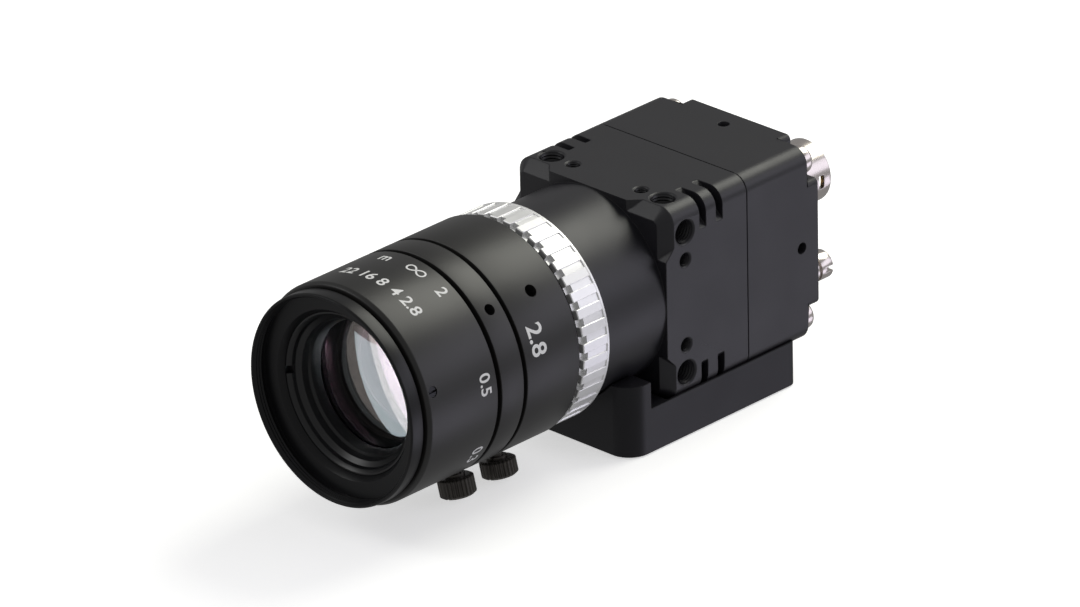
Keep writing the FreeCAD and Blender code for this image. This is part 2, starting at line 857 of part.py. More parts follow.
def cradle(body):
    """Hollow that follows the housing's flat underside and its two rounded lower edges."""
    across = S.housing_half + S.seat_gap - S.edge_round
    up = S.edge_round - S.housing_half
    flat = sketch(body, "XZ_Plane", S.front_depth)
    rectangle(flat, (-across, -S.housing_half), (across, NONE))
    pocket(body, flat, None, along_normal=False)
    for sign in (1, -1):
        drawn = sketch(body, "XZ_Plane", S.front_depth)
        pocket(body, circle(drawn, (across * sign, up), S.edge_round), None, False)


def upright(edge, y):
    return runs(edge, "z") and near(edge.CenterOfMass.y, y)


def base_spots():
    return [(S.top_large_spread * s, -S.thread_row_depth) for s in (1, -1)]


def base_screws():
    """Two socket screws that hold the base to the housing."""
    body = piece("base_screws", HOUSING)
    seat = S.counterbore_depth - S.axis_height
    heads = sketch(body, "XY_Plane", seat - S.base_head_height)
    shanks = sketch(body, "XY_Plane", seat)
    sockets = sketch(body, "XY_Plane", seat - S.base_head_height)
    for spot in base_spots():
        circle(heads, spot, S.base_head_radius)
        circle(shanks, spot, S.base_screw_core)
        hexagon(sockets, spot, S.base_socket_radius)
    pad(body, heads, S.base_head_height)
    pad(body, shanks, S.base_screw_engaged - S.housing_half - seat)
    pocket(body, sockets, S.base_socket_depth)


def round_connector():
    """Round locking connector: shell, insulator and contacts."""
    home = moved(HOUSING, x=S.plug_x, z=S.plug_z)
    wall = S.rear_depth - S.rear_wall
    back = wall - S.plug_flange_thick
    shell = turned("connector_shell", home, [
        (-back, S.plug_bore),
        (-back, S.plug_flange_radius),
        (-wall, S.plug_flange_radius),
        (-wall, S.plug_radius),
        (S.plug_lead - S.plug_rear, S.plug_radius),
        (-S.plug_rear, S.plug_radius - S.plug_lead),
        (-S.plug_rear, S.plug_bore),
    ])
    start = S.plug_window_front
    low = (start, -S.plug_window_half)
    high = (start + S.plug_window_length, S.plug_window_half)
    window = rectangle(sketch(shell, "YZ_Plane"), low, high)
    both_ways(pocket(shell, window, S.plug_radius * 2))
    insulator = piece("connector_insulator", home)
    drawn = sketch(insulator, "XZ_Plane", -back)
    circle(drawn, (NONE, NONE), S.plug_bore - S.seat_gap)
    contact_circles(drawn, S.contact_radius + S.seat_gap)
    pad(insulator, drawn, S.insulator_rear - back, along_normal=False)
    contacts = piece("connector_contacts", home)
    start = S.interface_front + S.board_thick
    drawn = contact_circles(sketch(contacts, "XZ_Plane", -start), S.contact_radius)
    pad(contacts, drawn, S.contact_rear - start, along_normal=False)


def contact_circles(drawn, radius):
    for k in range(HEX_SIDES):
        turn = math.radians(FULL_TURN * k / HEX_SIDES)
        spot = (S.contact_circle * math.cos(turn), S.contact_circle * math.sin(turn))
        circle(drawn, spot, radius)
    return drawn


def data_connector():
    """Rectangular data connector: metal shell and the contact tongue inside it."""
    home = moved(HOUSING, z=-S.data_drop)
    start = S.interface_front + S.board_thick
    wide = S.data_half_width
    tall = S.data_half_height
    shell = piece("data_connector_shell", home)
    drawn = rectangle(sketch(shell, "XZ_Plane", -start), (-wide, -tall), (wide, tall))
    pad(shell, drawn, S.data_rear - start, along_normal=False)
    dress(shell, "Fillet", S.data_round, lambda e: runs(e, "y"))
    wide = wide - S.data_wall
    tall = tall - S.data_wall
    drawn = rectangle(sketch(shell, "XZ_Plane", -S.data_rear), (-wide, -tall), (wide, tall))
    pocket(shell, drawn, S.data_cavity_depth)
    tongue = piece("data_connector_tongue", home)
    floor = S.data_rear - S.data_cavity_depth
    wide = S.tongue_half_width
    tall = S.tongue_half_height
    drawn = rectangle(sketch(tongue, "XZ_Plane", -floor), (-wide, -tall), (wide, tall))
    pad(tongue, drawn, S.tongue_rear - floor, along_normal=False)


def jack_posts():
    """Two slotted threaded posts beside the data connector."""
    body = piece("jack_posts", moved(HOUSING, z=-S.data_drop))
    wall = S.rear_depth
    board = S.interface_front + S.board_thick
    groove_back = S.post_groove_front + S.post_groove_width
    waist = S.post_radius - S.post_groove_depth
    steps = [
        (board, wall, S.post_core),
        (wall, S.post_groove_front, S.post_radius),
        (S.post_groove_front, groove_back, waist),
        (groove_back, S.post_rear, S.post_radius),
    ]
    for start, end, radius in steps:
        pad(body, post_circles(sketch(body, "XZ_Plane", -start), radius), end - start, False)
    drawn = post_circles(sketch(body, "XZ_Plane", -S.post_rear), S.post_bore)
    pocket(body, drawn, S.post_bore_depth)
    slot = sketch(body, "XZ_Plane", -S.post_rear)
    for sign in (1, -1):
        across = S.post_spread * sign
        half = S.post_slot_width / 2
        reach = S.post_radius * OVERRUN
        rectangle(slot, (across - reach, -half), (across + reach, half))
    pocket(body, slot, S.post_slot_depth)


def post_circles(drawn, radius):
    for sign in (1, -1):
        circle(drawn, (S.post_spread * sign, NONE), radius)
    return drawn


def block(body, start, end, wide, tall):
    """A rectangular block between two distances behind the seam."""
    drawn = rectangle(sketch(body, "XZ_Plane", -start), (-wide, -tall), (wide, tall))
    pad(body, drawn, end - start, along_normal=False)


def boards():
    """Sensor, processor and interface boards with their spacers and plug links."""
    back = -S.sensor_back_depth
    ledge = -S.ledge_depth
    body = piece("sensor_board", HOUSING)
    drawn = circle(sketch(body, "XZ_Plane", -back), (NONE, NONE), S.sensor_board_radius)
    pad(body, drawn, S.board_thick, along_normal=False)
    for label, start in (("processor_board", ledge), ("interface_board", S.interface_front)):
        body = piece(label, HOUSING)
        drawn = plus_outline(sketch(body, "XZ_Plane", -start), S.board_half, S.board_arm)
        pad(body, drawn, S.board_thick, along_normal=False)
    spacers = piece("board_spacers", HOUSING)
    start = ledge + S.board_thick
    drawn = sketch(spacers, "XZ_Plane", -start)
    for sx, sz in QUARTERS:
        circle(drawn, (S.spacer_spread_x * sx, S.spacer_spread_z * sz), S.spacer_radius)
    pad(spacers, drawn, S.interface_front - start, along_normal=False)
    links = piece("board_links", HOUSING)
    block(links, back + S.board_thick, ledge, S.link_half_long, S.link_half_short)
    block(links, start, S.interface_front, S.link_half_short, S.link_half_long)
    standoffs = piece("sensor_standoffs", HOUSING)
    drawn = sketch(standoffs, "XZ_Plane", S.front_floor_depth)
    for turn in (90, 210, 330):
        angle = math.radians(turn)
        spot = (S.standoff_circle * math.cos(angle), S.standoff_circle * math.sin(angle))
        circle(drawn, spot, S.standoff_radius)
    pad(standoffs, drawn, S.front_floor_depth - S.sensor_back_depth, along_normal=False)


def sensor():
    """Image sensor package whose chip face lies at the flange focal distance."""
    body = piece("image_sensor", HOUSING)
    image = S.flange_depth - S.flange_focal
    rim = image + S.sensor_rim
    block(body, -rim, -S.sensor_back_depth, S.sensor_half, S.sensor_half)
    half = S.sensor_window_half
    drawn = rectangle(sketch(body, "XZ_Plane", rim), (-half, -half), (half, half))
    pocket(body, drawn, S.sensor_rim, along_normal=False)
    glass = piece("sensor_cover_glass", HOUSING)
    block(glass, -rim - S.cover_glass_thick, -rim, S.sensor_half, S.sensor_half)


def blocking_filter():
    """Infrared blocking filter and the ring that holds it in the nose."""
    seat = S.filter_seat_depth
    face = seat + S.filter_thick
    outer = S.filter_seat_radius - S.seat_gap
    body = piece("blocking_filter", HOUSING)
    pad(body, circle(sketch(body, "XZ_Plane", seat), (NONE, NONE), outer), S.filter_thick)
    ring_front = face + S.filter_ring_thick
    washer("filter_ring", HOUSING, ring_front, face, outer, S.filter_ring_bore)


def mount_ring():
    """Bright toothed ring with the male lens thread behind it."""
    male = S.mount_thread_radius - S.thread_gap
    tail = -S.mount_thread_length
    body = turned("mount_ring", FLANGE, [
        (S.grip_front, S.spigot_radius + S.seat_gap),
        (S.grip_front, S.grip_radius),
        (NONE, S.grip_radius),
        (NONE, S.mount_relief_radius),
        (-S.mount_relief_length, S.mount_relief_radius),
        (-S.mount_relief_length, male),
        (tail + S.ring_bevel, male),
        (tail, male - S.ring_bevel),
        (tail, S.mount_back_bore),
        (S.spigot_back, S.mount_back_bore),
        (S.spigot_back, S.spigot_radius + S.seat_gap),
    ], S.grip_phase)
    drawn = sketch(body, "XZ_Plane", S.grip_collar)
    half = S.grip_notch_half
    rectangle(drawn, (S.grip_root, -half), (S.grip_radius * OVERRUN, half))
    around(body, [pocket(body, drawn)], S.grip_teeth)


def lens_barrel():
    """Fixed barrel that every ring of the lens runs on."""
    body = turned("lens_barrel", FLANGE, [
        (S.spigot_back, S.cell_bore),
        (S.spigot_back, S.spigot_radius),
        (S.grip_front, S.spigot_radius),
        (S.grip_front, S.neck_radius),
        (S.neck_front, S.neck_radius),
        (S.neck_front, S.barrel_radius),
        (S.barrel_front, S.barrel_radius),
        (S.barrel_front, S.barrel_bore),
        (S.iris_seat_back, S.barrel_bore),
        (S.iris_seat_back, S.cell_bore),
    ])
    radial_hole(body, S.guide_pin_y, S.guide_pin_radius, S.guide_angle)
    half = S.drive_slot_half
    low = (S.rotor_bore, -S.drive_pin_y - half)
    high = (S.ring_radius, half - S.drive_pin_y)
    slot = rectangle(sketch(body, "XY_Plane"), low, high)
    revolved(body, "Groove", slot, "V_Axis", S.iris_slot_angle, reverse=True)


def sunk_hole(body, forward, radius, floor):
    """A blind hole entering a ring from outside along the body's own x axis."""
    drawn = sketch(body, "YZ_Plane", floor)
    return pocket(body, circle(drawn, (-forward, NONE), radius))


def set_screw(label, forward, angle, floor, dog=None):
    """A slotted grub screw just below the ring's surface; the dog is a thinner tip."""
    top = S.ring_radius - S.set_screw_sink
    radius = S.set_screw_radius
    points = [(floor, NONE), (floor, radius), (top, radius), (top, NONE)]
    if dog is not None:
        tip_radius = S.guide_groove_half - S.running_gap
        points[:1] = [(dog, NONE), (dog, tip_radius), (floor, tip_radius)]
    body = turned_radial(label, moved(FLANGE, y=-forward), points, angle)
    slot = sketch(body, "YZ_Plane", top)
    half = S.set_slot_width / 2
    rectangle(slot, (-radius * OVERRUN, -half), (radius * OVERRUN, half))
    pocket(body, slot, S.set_slot_depth, along_normal=False)
    return body


def iris_ring():
    """Iris ring with its set screw, its lock screw hole and the pin that drives the iris."""
    bore = S.barrel_radius + S.running_gap
    outline = ring_points(S.iris_ring_front, S.iris_ring_back, S.ring_radius, bore,
                          S.ring_bevel, S.ring_bevel)
    body = turned("iris_ring", FLANGE, outline, S.set_angle)
    hole = S.set_screw_radius + S.thread_gap
    sunk_hole(body, S.iris_set_y, hole, S.iris_set_seat)
    turn = S.lock_angle - S.set_angle
    radial_hole(body, S.iris_lock_y, S.lock_core + S.running_gap, turn)
    turn = S.iris_pin_angle - S.set_angle
    end = S.drive_pin_end + S.seat_gap
    radial_hole(body, S.drive_pin_y, S.drive_pin_radius + S.seat_gap, turn, end)
    set_screw("iris_set_screw", S.iris_set_y, S.set_angle, S.iris_set_seat)
    home = moved(FLANGE, y=-S.drive_pin_y)
    turned_radial("iris_drive_pin", home, [
        (S.drive_pin_tip, NONE),
        (S.drive_pin_tip, S.drive_pin_radius),
        (S.drive_pin_end, S.drive_pin_radius),
        (S.drive_pin_end, NONE),
    ], S.iris_pin_angle)


def iris():
    """Six pivoting blades between a fixed seat and the turning rotor."""
    seat_outer = S.barrel_bore - S.seat_gap
    seat = washer("iris_seat", FLANGE, S.iris_seat_front, S.iris_seat_back, seat_outer,
                  S.iris_seat_bore)
    pivot = (S.blade_pivot_x, S.blade_pivot_z)
    drawn = sketch(seat, "XZ_Plane", S.iris_seat_back)
    hole = pocket(seat, circle(drawn, pivot, S.blade_pin_radius + S.running_gap))
    around(seat, [hole], S.iris_blades)
    for k in range(int(SIZES["iris_blades"])):
        blade(k, pivot)
    rotor = washer("iris_rotor", FLANGE, S.rotor_front, S.rotor_back, S.rotor_radius,
                   S.rotor_bore, S.iris_pin_angle)
    drawn = sketch(rotor, "YZ_Plane", S.drive_pin_tip - S.seat_gap)
    pocket(rotor, circle(drawn, (-S.drive_pin_y, NONE), S.drive_pin_radius + S.seat_gap))
    washer("iris_retainer", FLANGE, S.iris_retainer_front, S.iris_retainer_back, seat_outer,
           S.rotor_bore)


def blade(k, pivot):
    """One iris blade: a thin sector with a pivot ear, and a pin into the seat."""
    turn = size(FULL_TURN * k) / S.iris_blades
    body = piece("iris_blade_%d" % (k + 1), FLANGE, turn)
    level = S.blade_first + S.blade_pitch * k
    span = sector(sketch(body, "XZ_Plane", level), S.blade_inner, S.blade_outer, S.blade_span)
    pad(body, span, S.blade_thick)
    ear = sketch(body, "XZ_Plane", level)
    rectangle(ear, (S.blade_ear_inner, NONE), (S.blade_ear_outer, S.blade_ear_width))
    pad(body, ear, S.blade_thick)
    post = circle(sketch(body, "XZ_Plane", level), pivot, S.blade_pin_radius)
    pad(body, post, level - S.blade_pin_back, along_normal=False)


def index_ring():
    """Fixed narrow ring between the iris and focus rings, with its guide screws."""
    web = S.index_back + S.index_web
    bevel = S.ring_bevel
    body = turned("index_ring", FLANGE, [
        (S.index_back, S.barrel_radius),
        (S.index_back, S.ring_radius - bevel),
        (S.index_back + bevel, S.ring_radius),
        (S.index_front - bevel, S.ring_radius),
        (S.index_front, S.ring_radius - bevel),
        (S.index_front, S.index_bore),
        (web, S.index_bore),
        (web, S.barrel_radius),
    ])
    hole = S.set_screw_radius + S.thread_gap
    opposite = S.set_angle + FULL_TURN / 2
    for turn in (S.set_angle, opposite):
        radial_hole(body, S.guide_groove_y, hole, turn)
    radial_hole(body, S.focus_lock_y, S.lock_core + S.running_gap, S.lock_angle)
    floor = S.index_bore + S.seat_gap
    for label, turn in (("guide_screw_top", S.set_angle), ("guide_screw_bottom", opposite)):
        set_screw(label, S.guide_groove_y, turn, floor, S.dog_end)
    turned_radial("guide_pin", moved(FLANGE, y=-S.guide_pin_y), [
        (S.guide_pin_tip, NONE),
        (S.guide_pin_tip, S.guide_pin_radius),
        (S.barrel_radius - S.seat_gap, S.guide_pin_radius),
        (S.barrel_radius - S.seat_gap, NONE),
    ], S.guide_angle)


def focus_ring():
    """Focus ring: runs on the barrel, held by the guide screws, threaded on the front."""
    bore = S.barrel_radius + S.running_gap
    skirt = S.index_bore - S.running_gap
    groove_back = S.guide_groove_y - S.guide_groove_half
    groove_front = S.guide_groove_y + S.guide_groove_half
    body = turned("focus_ring", FLANGE, [
        (S.focus_skirt_back, bore),
        (S.focus_skirt_back, skirt),
        (groove_back, skirt),
        (groove_back, S.guide_groove_root),
        (groove_front, S.guide_groove_root),
        (groove_front, skirt),
        (S.focus_back, skirt),
        (S.focus_back, S.ring_radius - S.ring_bevel),
        (S.focus_back + S.ring_bevel, S.ring_radius),
        (S.focus_front - S.focus_bevel, S.ring_radius),
        (S.focus_front, S.ring_radius - S.focus_bevel),
        (S.focus_front, S.helicoid_radius),
        (S.helicoid_back, S.helicoid_radius),
        (S.focus_guide_end, bore),
    ], S.focus_set_angle)
    hole = sunk_hole(body, S.focus_set_y, S.set_screw_radius + S.thread_gap,
                     S.focus_set_seat)
    around(body, [hole], S.focus_set_count)
    screws = set_screw("focus_set_screws", S.focus_set_y, S.focus_set_angle,
                       S.focus_set_seat)
    cuts = [o for o in screws.Group if o.TypeId in ("PartDesign::Revolution",
                                                    "PartDesign::Pocket")]
    around(screws, cuts, S.focus_set_count)


def lock_screw(label, forward, tip, shoulder):
    """Knurled thumb screw standing square to the lens axis."""
    end = S.lock_head_end
    head = S.lock_head_radius
    bevel = S.lock_head_bevel
    body = turned_radial(label, moved(FLANGE, y=-forward), [
        (tip, NONE),
        (tip, S.lock_core),
        (shoulder - S.lock_head_bevel, S.lock_core),
        (shoulder - S.lock_head_bevel, S.lock_neck),
        (shoulder, S.lock_neck),
        (shoulder, head - bevel),
        (shoulder + bevel, head),
        (end - bevel, head),
        (end, head - bevel),
        (end, NONE),
    ], S.lock_angle)
    drawn = sketch(body, "YZ_Plane", shoulder)
    half = S.lock_knurl_half
    rectangle(drawn, (S.lock_knurl_root, -half), (head * OVERRUN, half))
    around(body, [pocket(body, drawn, end - shoulder)], S.lock_knurl_count, "X_Axis")
    slot = sketch(body, "YZ_Plane", end)
    half = S.lock_slot_width / 2
    rectangle(slot, (-head * OVERRUN, -half), (head * OVERRUN, half))
    pocket(body, slot, S.lock_slot_depth, along_normal=False)


def front_barrel():
    """Sliding front barrel: filter thread, helicoid, glass seats and guide slot."""
    helicoid = S.helicoid_radius - S.running_gap
    skirt = S.barrel_bore - S.running_gap
    seat = S.front_glass_radius + S.seat_gap
    collar = S.retainer_radius + S.thread_gap
    body = turned("front_barrel", FLANGE, [
        (S.skirt_back, S.skirt_bore),
        (S.skirt_back, skirt),
        (S.front_web, skirt),
        (S.front_web, helicoid),
        (S.rim_back, helicoid),
        (S.rim_back, S.rim_radius - S.rim_bevel),
        (S.rim_back + S.rim_bevel, S.rim_radius),
        (S.rim_front - S.rim_bevel, S.rim_radius),
        (S.rim_front, S.rim_radius - S.rim_bevel),
        (S.rim_front, S.filter_thread_radius),
        (S.filter_thread_floor, S.filter_thread_radius),
        (S.filter_thread_floor, S.mouth_radius),
        (S.retainer_front, collar),
        (S.glass_seat, collar),
        (S.glass_seat, seat),
        (S.glass_lip_front, seat),
        (S.glass_lip_front, S.glass_lip_radius),
        (S.glass_lip_back, S.glass_lip_radius),
        (S.glass_lip_back, S.skirt_bore),
    ], S.guide_angle)
    half = S.guide_pin_radius + S.running_gap
    low = (-S.guide_pin_y - half * OVERRUN, -half)
    high = (S.focus_travel + half * OVERRUN - S.guide_pin_y, half)
    pocket(body, rectangle(sketch(body, "YZ_Plane", S.guide_slot_floor), low, high))


def front_retainer():
    """Threaded ring that holds the front glass, with two spanner notches."""
    body = turned("front_retainer", FLANGE, [
        (S.retainer_front, S.retainer_radius),
        (S.retainer_step_y, S.retainer_step_radius),
        (S.retainer_back, S.window_radius),
        (S.retainer_back, S.retainer_radius),
    ])
    half = S.retainer_notch_half
    wide = S.retainer_radius * OVERRUN
    drawn = rectangle(sketch(body, "XZ_Plane", S.retainer_front), (-wide, -half), (wide, half))
    pocket(body, drawn, S.retainer_notch_depth, along_normal=False)


def ball(vertex, curve, side):
    """Ball that shapes one glass face; side 1 puts its centre behind the vertex."""
    shape = doc.addObject("Part::Sphere", "curve_ball")
    shape.setExpression("Radius", curve.text)
    place(shape, moved(FLANGE, y=curve * side - vertex))
    return shape


def glass(label, radius, front, back, bulges, hollows):
    """A lens element: a disc kept inside the bulge balls and cut by the hollow balls."""
    disc = doc.addObject("Part::Cylinder", label + "_disc")
    disc.setExpression("Radius", radius.text)
    disc.setExpression("Height", (front - back).text)
    place(disc, moved(FLANGE, y=-back))
    disc.Placement = FreeCAD.Placement(disc.Placement.Base, FreeCAD.Rotation(
        FreeCAD.Vector(1, 0, 0), FULL_TURN / 4))
    result = disc
    steps = [("Part::Common", tool) for tool in bulges]
    steps += [("Part::Cut", tool) for tool in hollows]
    for kind, tool in steps:
        combined = doc.addObject(kind, label + "_step")
        combined.Base = result
        combined.Tool = tool
        result = combined
    result.Label = label
    doc.recompute()
    pieces.append(result)


def front_glass():
    """Front element, spacer and second element, all in the sliding barrel."""
    radius = S.front_glass_radius
    glass("front_element", radius, S.front_vertex, S.front_glass_back,
          [ball(S.front_vertex, S.front_curve, 1)],
          [ball(S.front_hollow_vertex, S.front_hollow_curve, 1)])
    washer("lens_spacer", FLANGE, S.spacer_front, S.spacer_back, radius, S.spacer_bore)
    glass("second_element", radius, S.second_vertex, S.second_back,
          [ball(S.second_vertex, S.second_curve, 1)],
          [ball(S.second_hollow_vertex, S.second_hollow_curve, 1)])


def rear_glass():
    """Rear cell behind the iris with its two elements, spacer and retaining ring."""
    radius = S.rear_glass_radius
    bore = radius + S.seat_gap
    turned("rear_cell", FLANGE, [
        (S.cell_front, S.cell_lip),
        (S.cell_front, S.cell_bore - S.seat_gap),
        (S.cell_step, S.cell_bore - S.seat_gap),
        (S.cell_step, S.cell_tail_radius),
        (S.cell_back, S.cell_tail_radius),
        (S.cell_back, bore),
        (S.cell_lip_back, bore),
        (S.cell_lip_back, S.cell_lip),
    ])
    glass("rear_inner_element", radius, S.inner_front, S.inner_back, [],
          [ball(S.inner_hollow_vertex, S.inner_hollow_curve, -1)])
    washer("rear_spacer", FLANGE, S.inner_back, S.rear_spacer_back, radius,
           S.rear_spacer_bore)
    glass("rear_outer_element", radius, S.outer_front_vertex, S.outer_back_vertex,
          [ball(S.outer_front_vertex, S.outer_curve, 1),
           ball(S.outer_back_vertex, S.outer_curve, -1)], [])
    washer("rear_retainer", FLANGE, S.rear_retainer_front, S.rear_retainer_back, radius,
           S.cell_lip)


def checked():
    """Stop if any object is broken, or a cut removed or a pad added nothing."""
    doc.recompute()
    for thing in doc.Objects:
        if "Invalid" in thing.State or "Error" in thing.State:
            raise RuntimeError("broken object " + thing.Label)
        before = getattr(thing, "BaseFeature", None)
        if before is None:
            continue
        change = thing.Shape.Volume - before.Shape.Volume
        if thing.TypeId == "PartDesign::Pad" and change <= 0:
            raise RuntimeError("pad adds nothing in " + thing.Label)
        if thing.TypeId in ("PartDesign::Pocket", "PartDesign::Groove") and change >= 0:
            raise RuntimeError("cut removes nothing in " + thing.Label)


def written():
    os.makedirs("parts", exist_ok=True)
    for thing in pieces:
        shape = thing.Shape
        if shape.isNull() or not shape.isValid() or not shape.Solids:
            raise RuntimeError("no sound shape for " + thing.Label)
        shape.exportStep("parts/%s.step" % thing.Label)


mounting_base()
base_screws()
front_housing()
rear_housing()
rear_screws()
round_connector()
data_connector()
jack_posts()
boards()
sensor()
blocking_filter()
mount_ring()
lens_barrel()
iris_ring()
iris()
index_ring()
focus_ring()
lock_screw("focus_lock_screw", S.focus_lock_y, S.lock_focus_tip, S.lock_focus_shoulder)
lock_screw("iris_lock_screw", S.iris_lock_y, S.lock_iris_tip, S.lock_iris_shoulder)
front_barrel()
front_retainer()
front_glass()
rear_glass()
checked()
written()
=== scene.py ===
import json
import math

import bmesh
import bpy
from mathutils import Matrix, Vector

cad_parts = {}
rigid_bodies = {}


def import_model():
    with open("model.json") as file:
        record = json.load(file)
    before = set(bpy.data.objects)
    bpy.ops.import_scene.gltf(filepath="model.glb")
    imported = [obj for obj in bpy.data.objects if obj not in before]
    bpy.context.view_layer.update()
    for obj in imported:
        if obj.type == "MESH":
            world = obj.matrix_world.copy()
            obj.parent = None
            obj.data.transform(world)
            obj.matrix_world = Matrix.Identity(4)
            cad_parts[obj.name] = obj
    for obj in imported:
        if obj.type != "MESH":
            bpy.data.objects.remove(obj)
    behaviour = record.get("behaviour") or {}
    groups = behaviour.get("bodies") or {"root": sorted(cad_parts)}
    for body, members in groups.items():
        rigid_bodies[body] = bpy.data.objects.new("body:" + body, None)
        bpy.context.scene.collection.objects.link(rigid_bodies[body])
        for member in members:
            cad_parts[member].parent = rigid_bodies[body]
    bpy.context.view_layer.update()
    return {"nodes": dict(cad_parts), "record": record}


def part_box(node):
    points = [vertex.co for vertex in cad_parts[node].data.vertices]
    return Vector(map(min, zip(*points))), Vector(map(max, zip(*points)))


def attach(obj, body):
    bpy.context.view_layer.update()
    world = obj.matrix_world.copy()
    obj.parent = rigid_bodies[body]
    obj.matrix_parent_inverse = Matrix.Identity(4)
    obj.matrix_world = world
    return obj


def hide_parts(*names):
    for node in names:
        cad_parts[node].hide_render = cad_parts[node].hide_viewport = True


bl_info = {
    "name": "Machine vision camera dressing",
    "version": (1, 0, 0),
    "blender": (4, 5, 0),
    "location": "View3D > Sidebar > Camera part",
    "description": "Dresses the packed machine vision camera with its finishes and fine forms",
    "category": "Object",
}

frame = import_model()
MM = 0.001
RING_LOW, RING_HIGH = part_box("focus_ring")
AXIS_HEIGHT = (RING_LOW[2] + RING_HIGH[2]) / 2
RING_RADIUS = (RING_HIGH[2] - RING_LOW[2]) / 2 - 0.015 * MM
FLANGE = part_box("iris_ring")[1][1] + 6.3 * MM
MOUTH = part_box("front_barrel")[0][1]
CATEGORY = "Camera part"

# Places along the lens axis, in millimetres from the flange, negative to the front.
IRIS_FRONT, IRIS_BACK = -16.8, -6.3
INDEX_FRONT, INDEX_BACK = -21.9, -17.5
FOCUS_FRONT, FOCUS_BACK, SKIRT_END = -36.3, -22.7, -18.3
IRIS_HOLES, IRIS_LOCK, INDEX_HOLES, FOCUS_HOLES = -11.5, -11.3, -19.7, -34.7
RIM_FRONT, THREAD_START, THREAD_END = -39.1, -38.85, -37.2
DISTANCE_ROW, DEPTH_ROW, APERTURE_ROW = -25.0, -31.0, -14.0
# Angles about the lens axis, from +X towards +Z.
HOLE_ANGLE, LOCK_ANGLE, FOCUS_SCREW_ANGLE = 42.0, -75.0, 17.2
# Radii and depths inside the lens, in millimetres.
HOLE_FLOOR, DEEP_FLOOR, FOCUS_FLOOR, SCREW_FOOT, SCREW_TOP = 13.6, 13.0, 15.3, 13.65, 14.75
GRIP_CREST, GRIP_DEEP, GRIP_SHALLOW, GRIP_BORE = 16.2, 15.3, 16.02, 11.65
# The view and the lamps: places and sizes in metres, powers in watts, the turn in degrees.
VIEW_SPOT = (0.926722, -0.969025, 0.643612)
AIM = (0.0, -0.02, 0.02)
SOFTBOXES = (
    # name, place, size, power, colour
    ("key_box", (0.05, 0.62, 0.72), (0.62, 0.52), 4.4, (1.0, 1.0, 0.91)),
    ("side_box", (0.75, 0.70, 0.36), (0.9, 0.5), 1.9, (0.88, 0.86, 1.0)),
    ("front_box", (-0.7, -0.6, 0.7), (0.4, 0.4), 1.5, (1.0, 1.0, 1.0)),
    ("low_box", (0.78, 0.62, -0.46), (0.55, 0.45), 1.1, (0.86, 0.83, 1.0)),
)
WINDOW_SIZE, WINDOW_POWER, WINDOW_TURN = (0.30, 0.24), 1.3, 49.5


# ---------------------------------------------------------------- settings


def length(name, default, description):
    return bpy.props.FloatProperty(
        name=name, default=default, description=description, unit="LENGTH",
        subtype="DISTANCE", min=0.0, precision=5)


def amount(name, default, description, high=1.0):
    return bpy.props.FloatProperty(
        name=name, default=default, description=description, min=0.0, max=high)


def paint(name, default, description):
    return bpy.props.FloatVectorProperty(
        name=name, default=default, description=description, subtype="COLOR",
        size=3, min=0.0, max=1.0)


def turn(name, default, description):
    return bpy.props.FloatProperty(
        name=name, default=math.radians(default), description=description,
        subtype="ANGLE", unit="ROTATION")


class CameraPartSizes(bpy.types.PropertyGroup):
    """Fine sizes that the dressing adds to the solids."""

    edge_break: length("Edge break", 0.12 * MM, "Width of the broken edges on machined pieces")
    ring_break: length("Ring edge break", 0.16 * MM, "Rounding on the edges of the lens rings")
    segments: bpy.props.IntProperty(
        name="Turned segments", default=192, min=24, max=512,
        description="Straight facets round each turned piece")
    thread_pitch: length("Filter thread pitch", 0.5 * MM, "Distance between thread turns")
    thread_depth: length("Filter thread depth", 0.2 * MM, "Depth of the filter thread")
    grip_teeth: bpy.props.IntProperty(
        name="Grip teeth", default=40, min=8, max=120,
        description="Teeth round the bright mount ring")
    gap_share: amount("Grip gap share", 0.45, "Share of each grip pitch that is groove")
    notch_length: length("Grip notch length", 0.9 * MM, "Length of the deep notches at the front")
    knurl_ribs: bpy.props.IntProperty(
        name="Knurl ribs", default=26, min=8, max=60,
        description="Ribs round each lock screw's head")
    focus_digit: length("Focus digit height", 1.95 * MM, "Height of the distance numbers")
    iris_digit: length("Iris digit height", 2.75 * MM, "Height of the aperture numbers")
    seam: length("Seam depth", 0.32 * MM, "Depth of the groove between the housings")
    housing_round: length("Housing edge radius", 2.5 * MM, "Rounding on the housing's edges")
    ink: length("Ink height", 0.012 * MM, "How far the printed numbers stand proud")


class CameraPartFinishes(bpy.types.PropertyGroup):
    """Colours of the finishes."""

    housing: paint("Housing black", (0.0120, 0.0115, 0.0150), "Anodised housing")
    barrel: paint("Lens black", (0.0135, 0.0130, 0.0125), "Anodised lens rings")
    inner: paint("Inner black", (0.006, 0.006, 0.007), "Blackened inside of the lens")
    bright: paint("Bright ring", (0.98, 0.98, 0.98), "Bright aluminium mount ring")
    nickel: paint("Nickel", (0.66, 0.61, 0.58), "Plated rear hardware")
    ink: paint("Ink", (0.96, 0.96, 0.96), "Printed numbers")
    roughness: amount("Housing roughness", 0.42, "How matt the anodised housing is")


class CameraPartStage(bpy.types.PropertyGroup):
    """Where the camera stands and how the studio is lit."""

    azimuth: turn("View azimuth", 44.285, "Turn of the view round the object")
    elevation: turn("View elevation", 25.139, "Height of the view above the horizon")
    roll: turn("View roll", -1.241, "Tilt of the view about its own line of sight")
    lens: bpy.props.FloatProperty(
        name="Focal length", default=347.0, min=10.0, max=1000.0,
        description="Focal length of the view in millimetres on a 36 mm frame")
    floor: paint("Floor", (0.93, 0.93, 0.93), "Plain floor")


def sizes():
    return bpy.context.scene.camera_part_sizes


def finishes():
    return bpy.context.scene.camera_part_finishes


# ---------------------------------------------------------------- shader maths


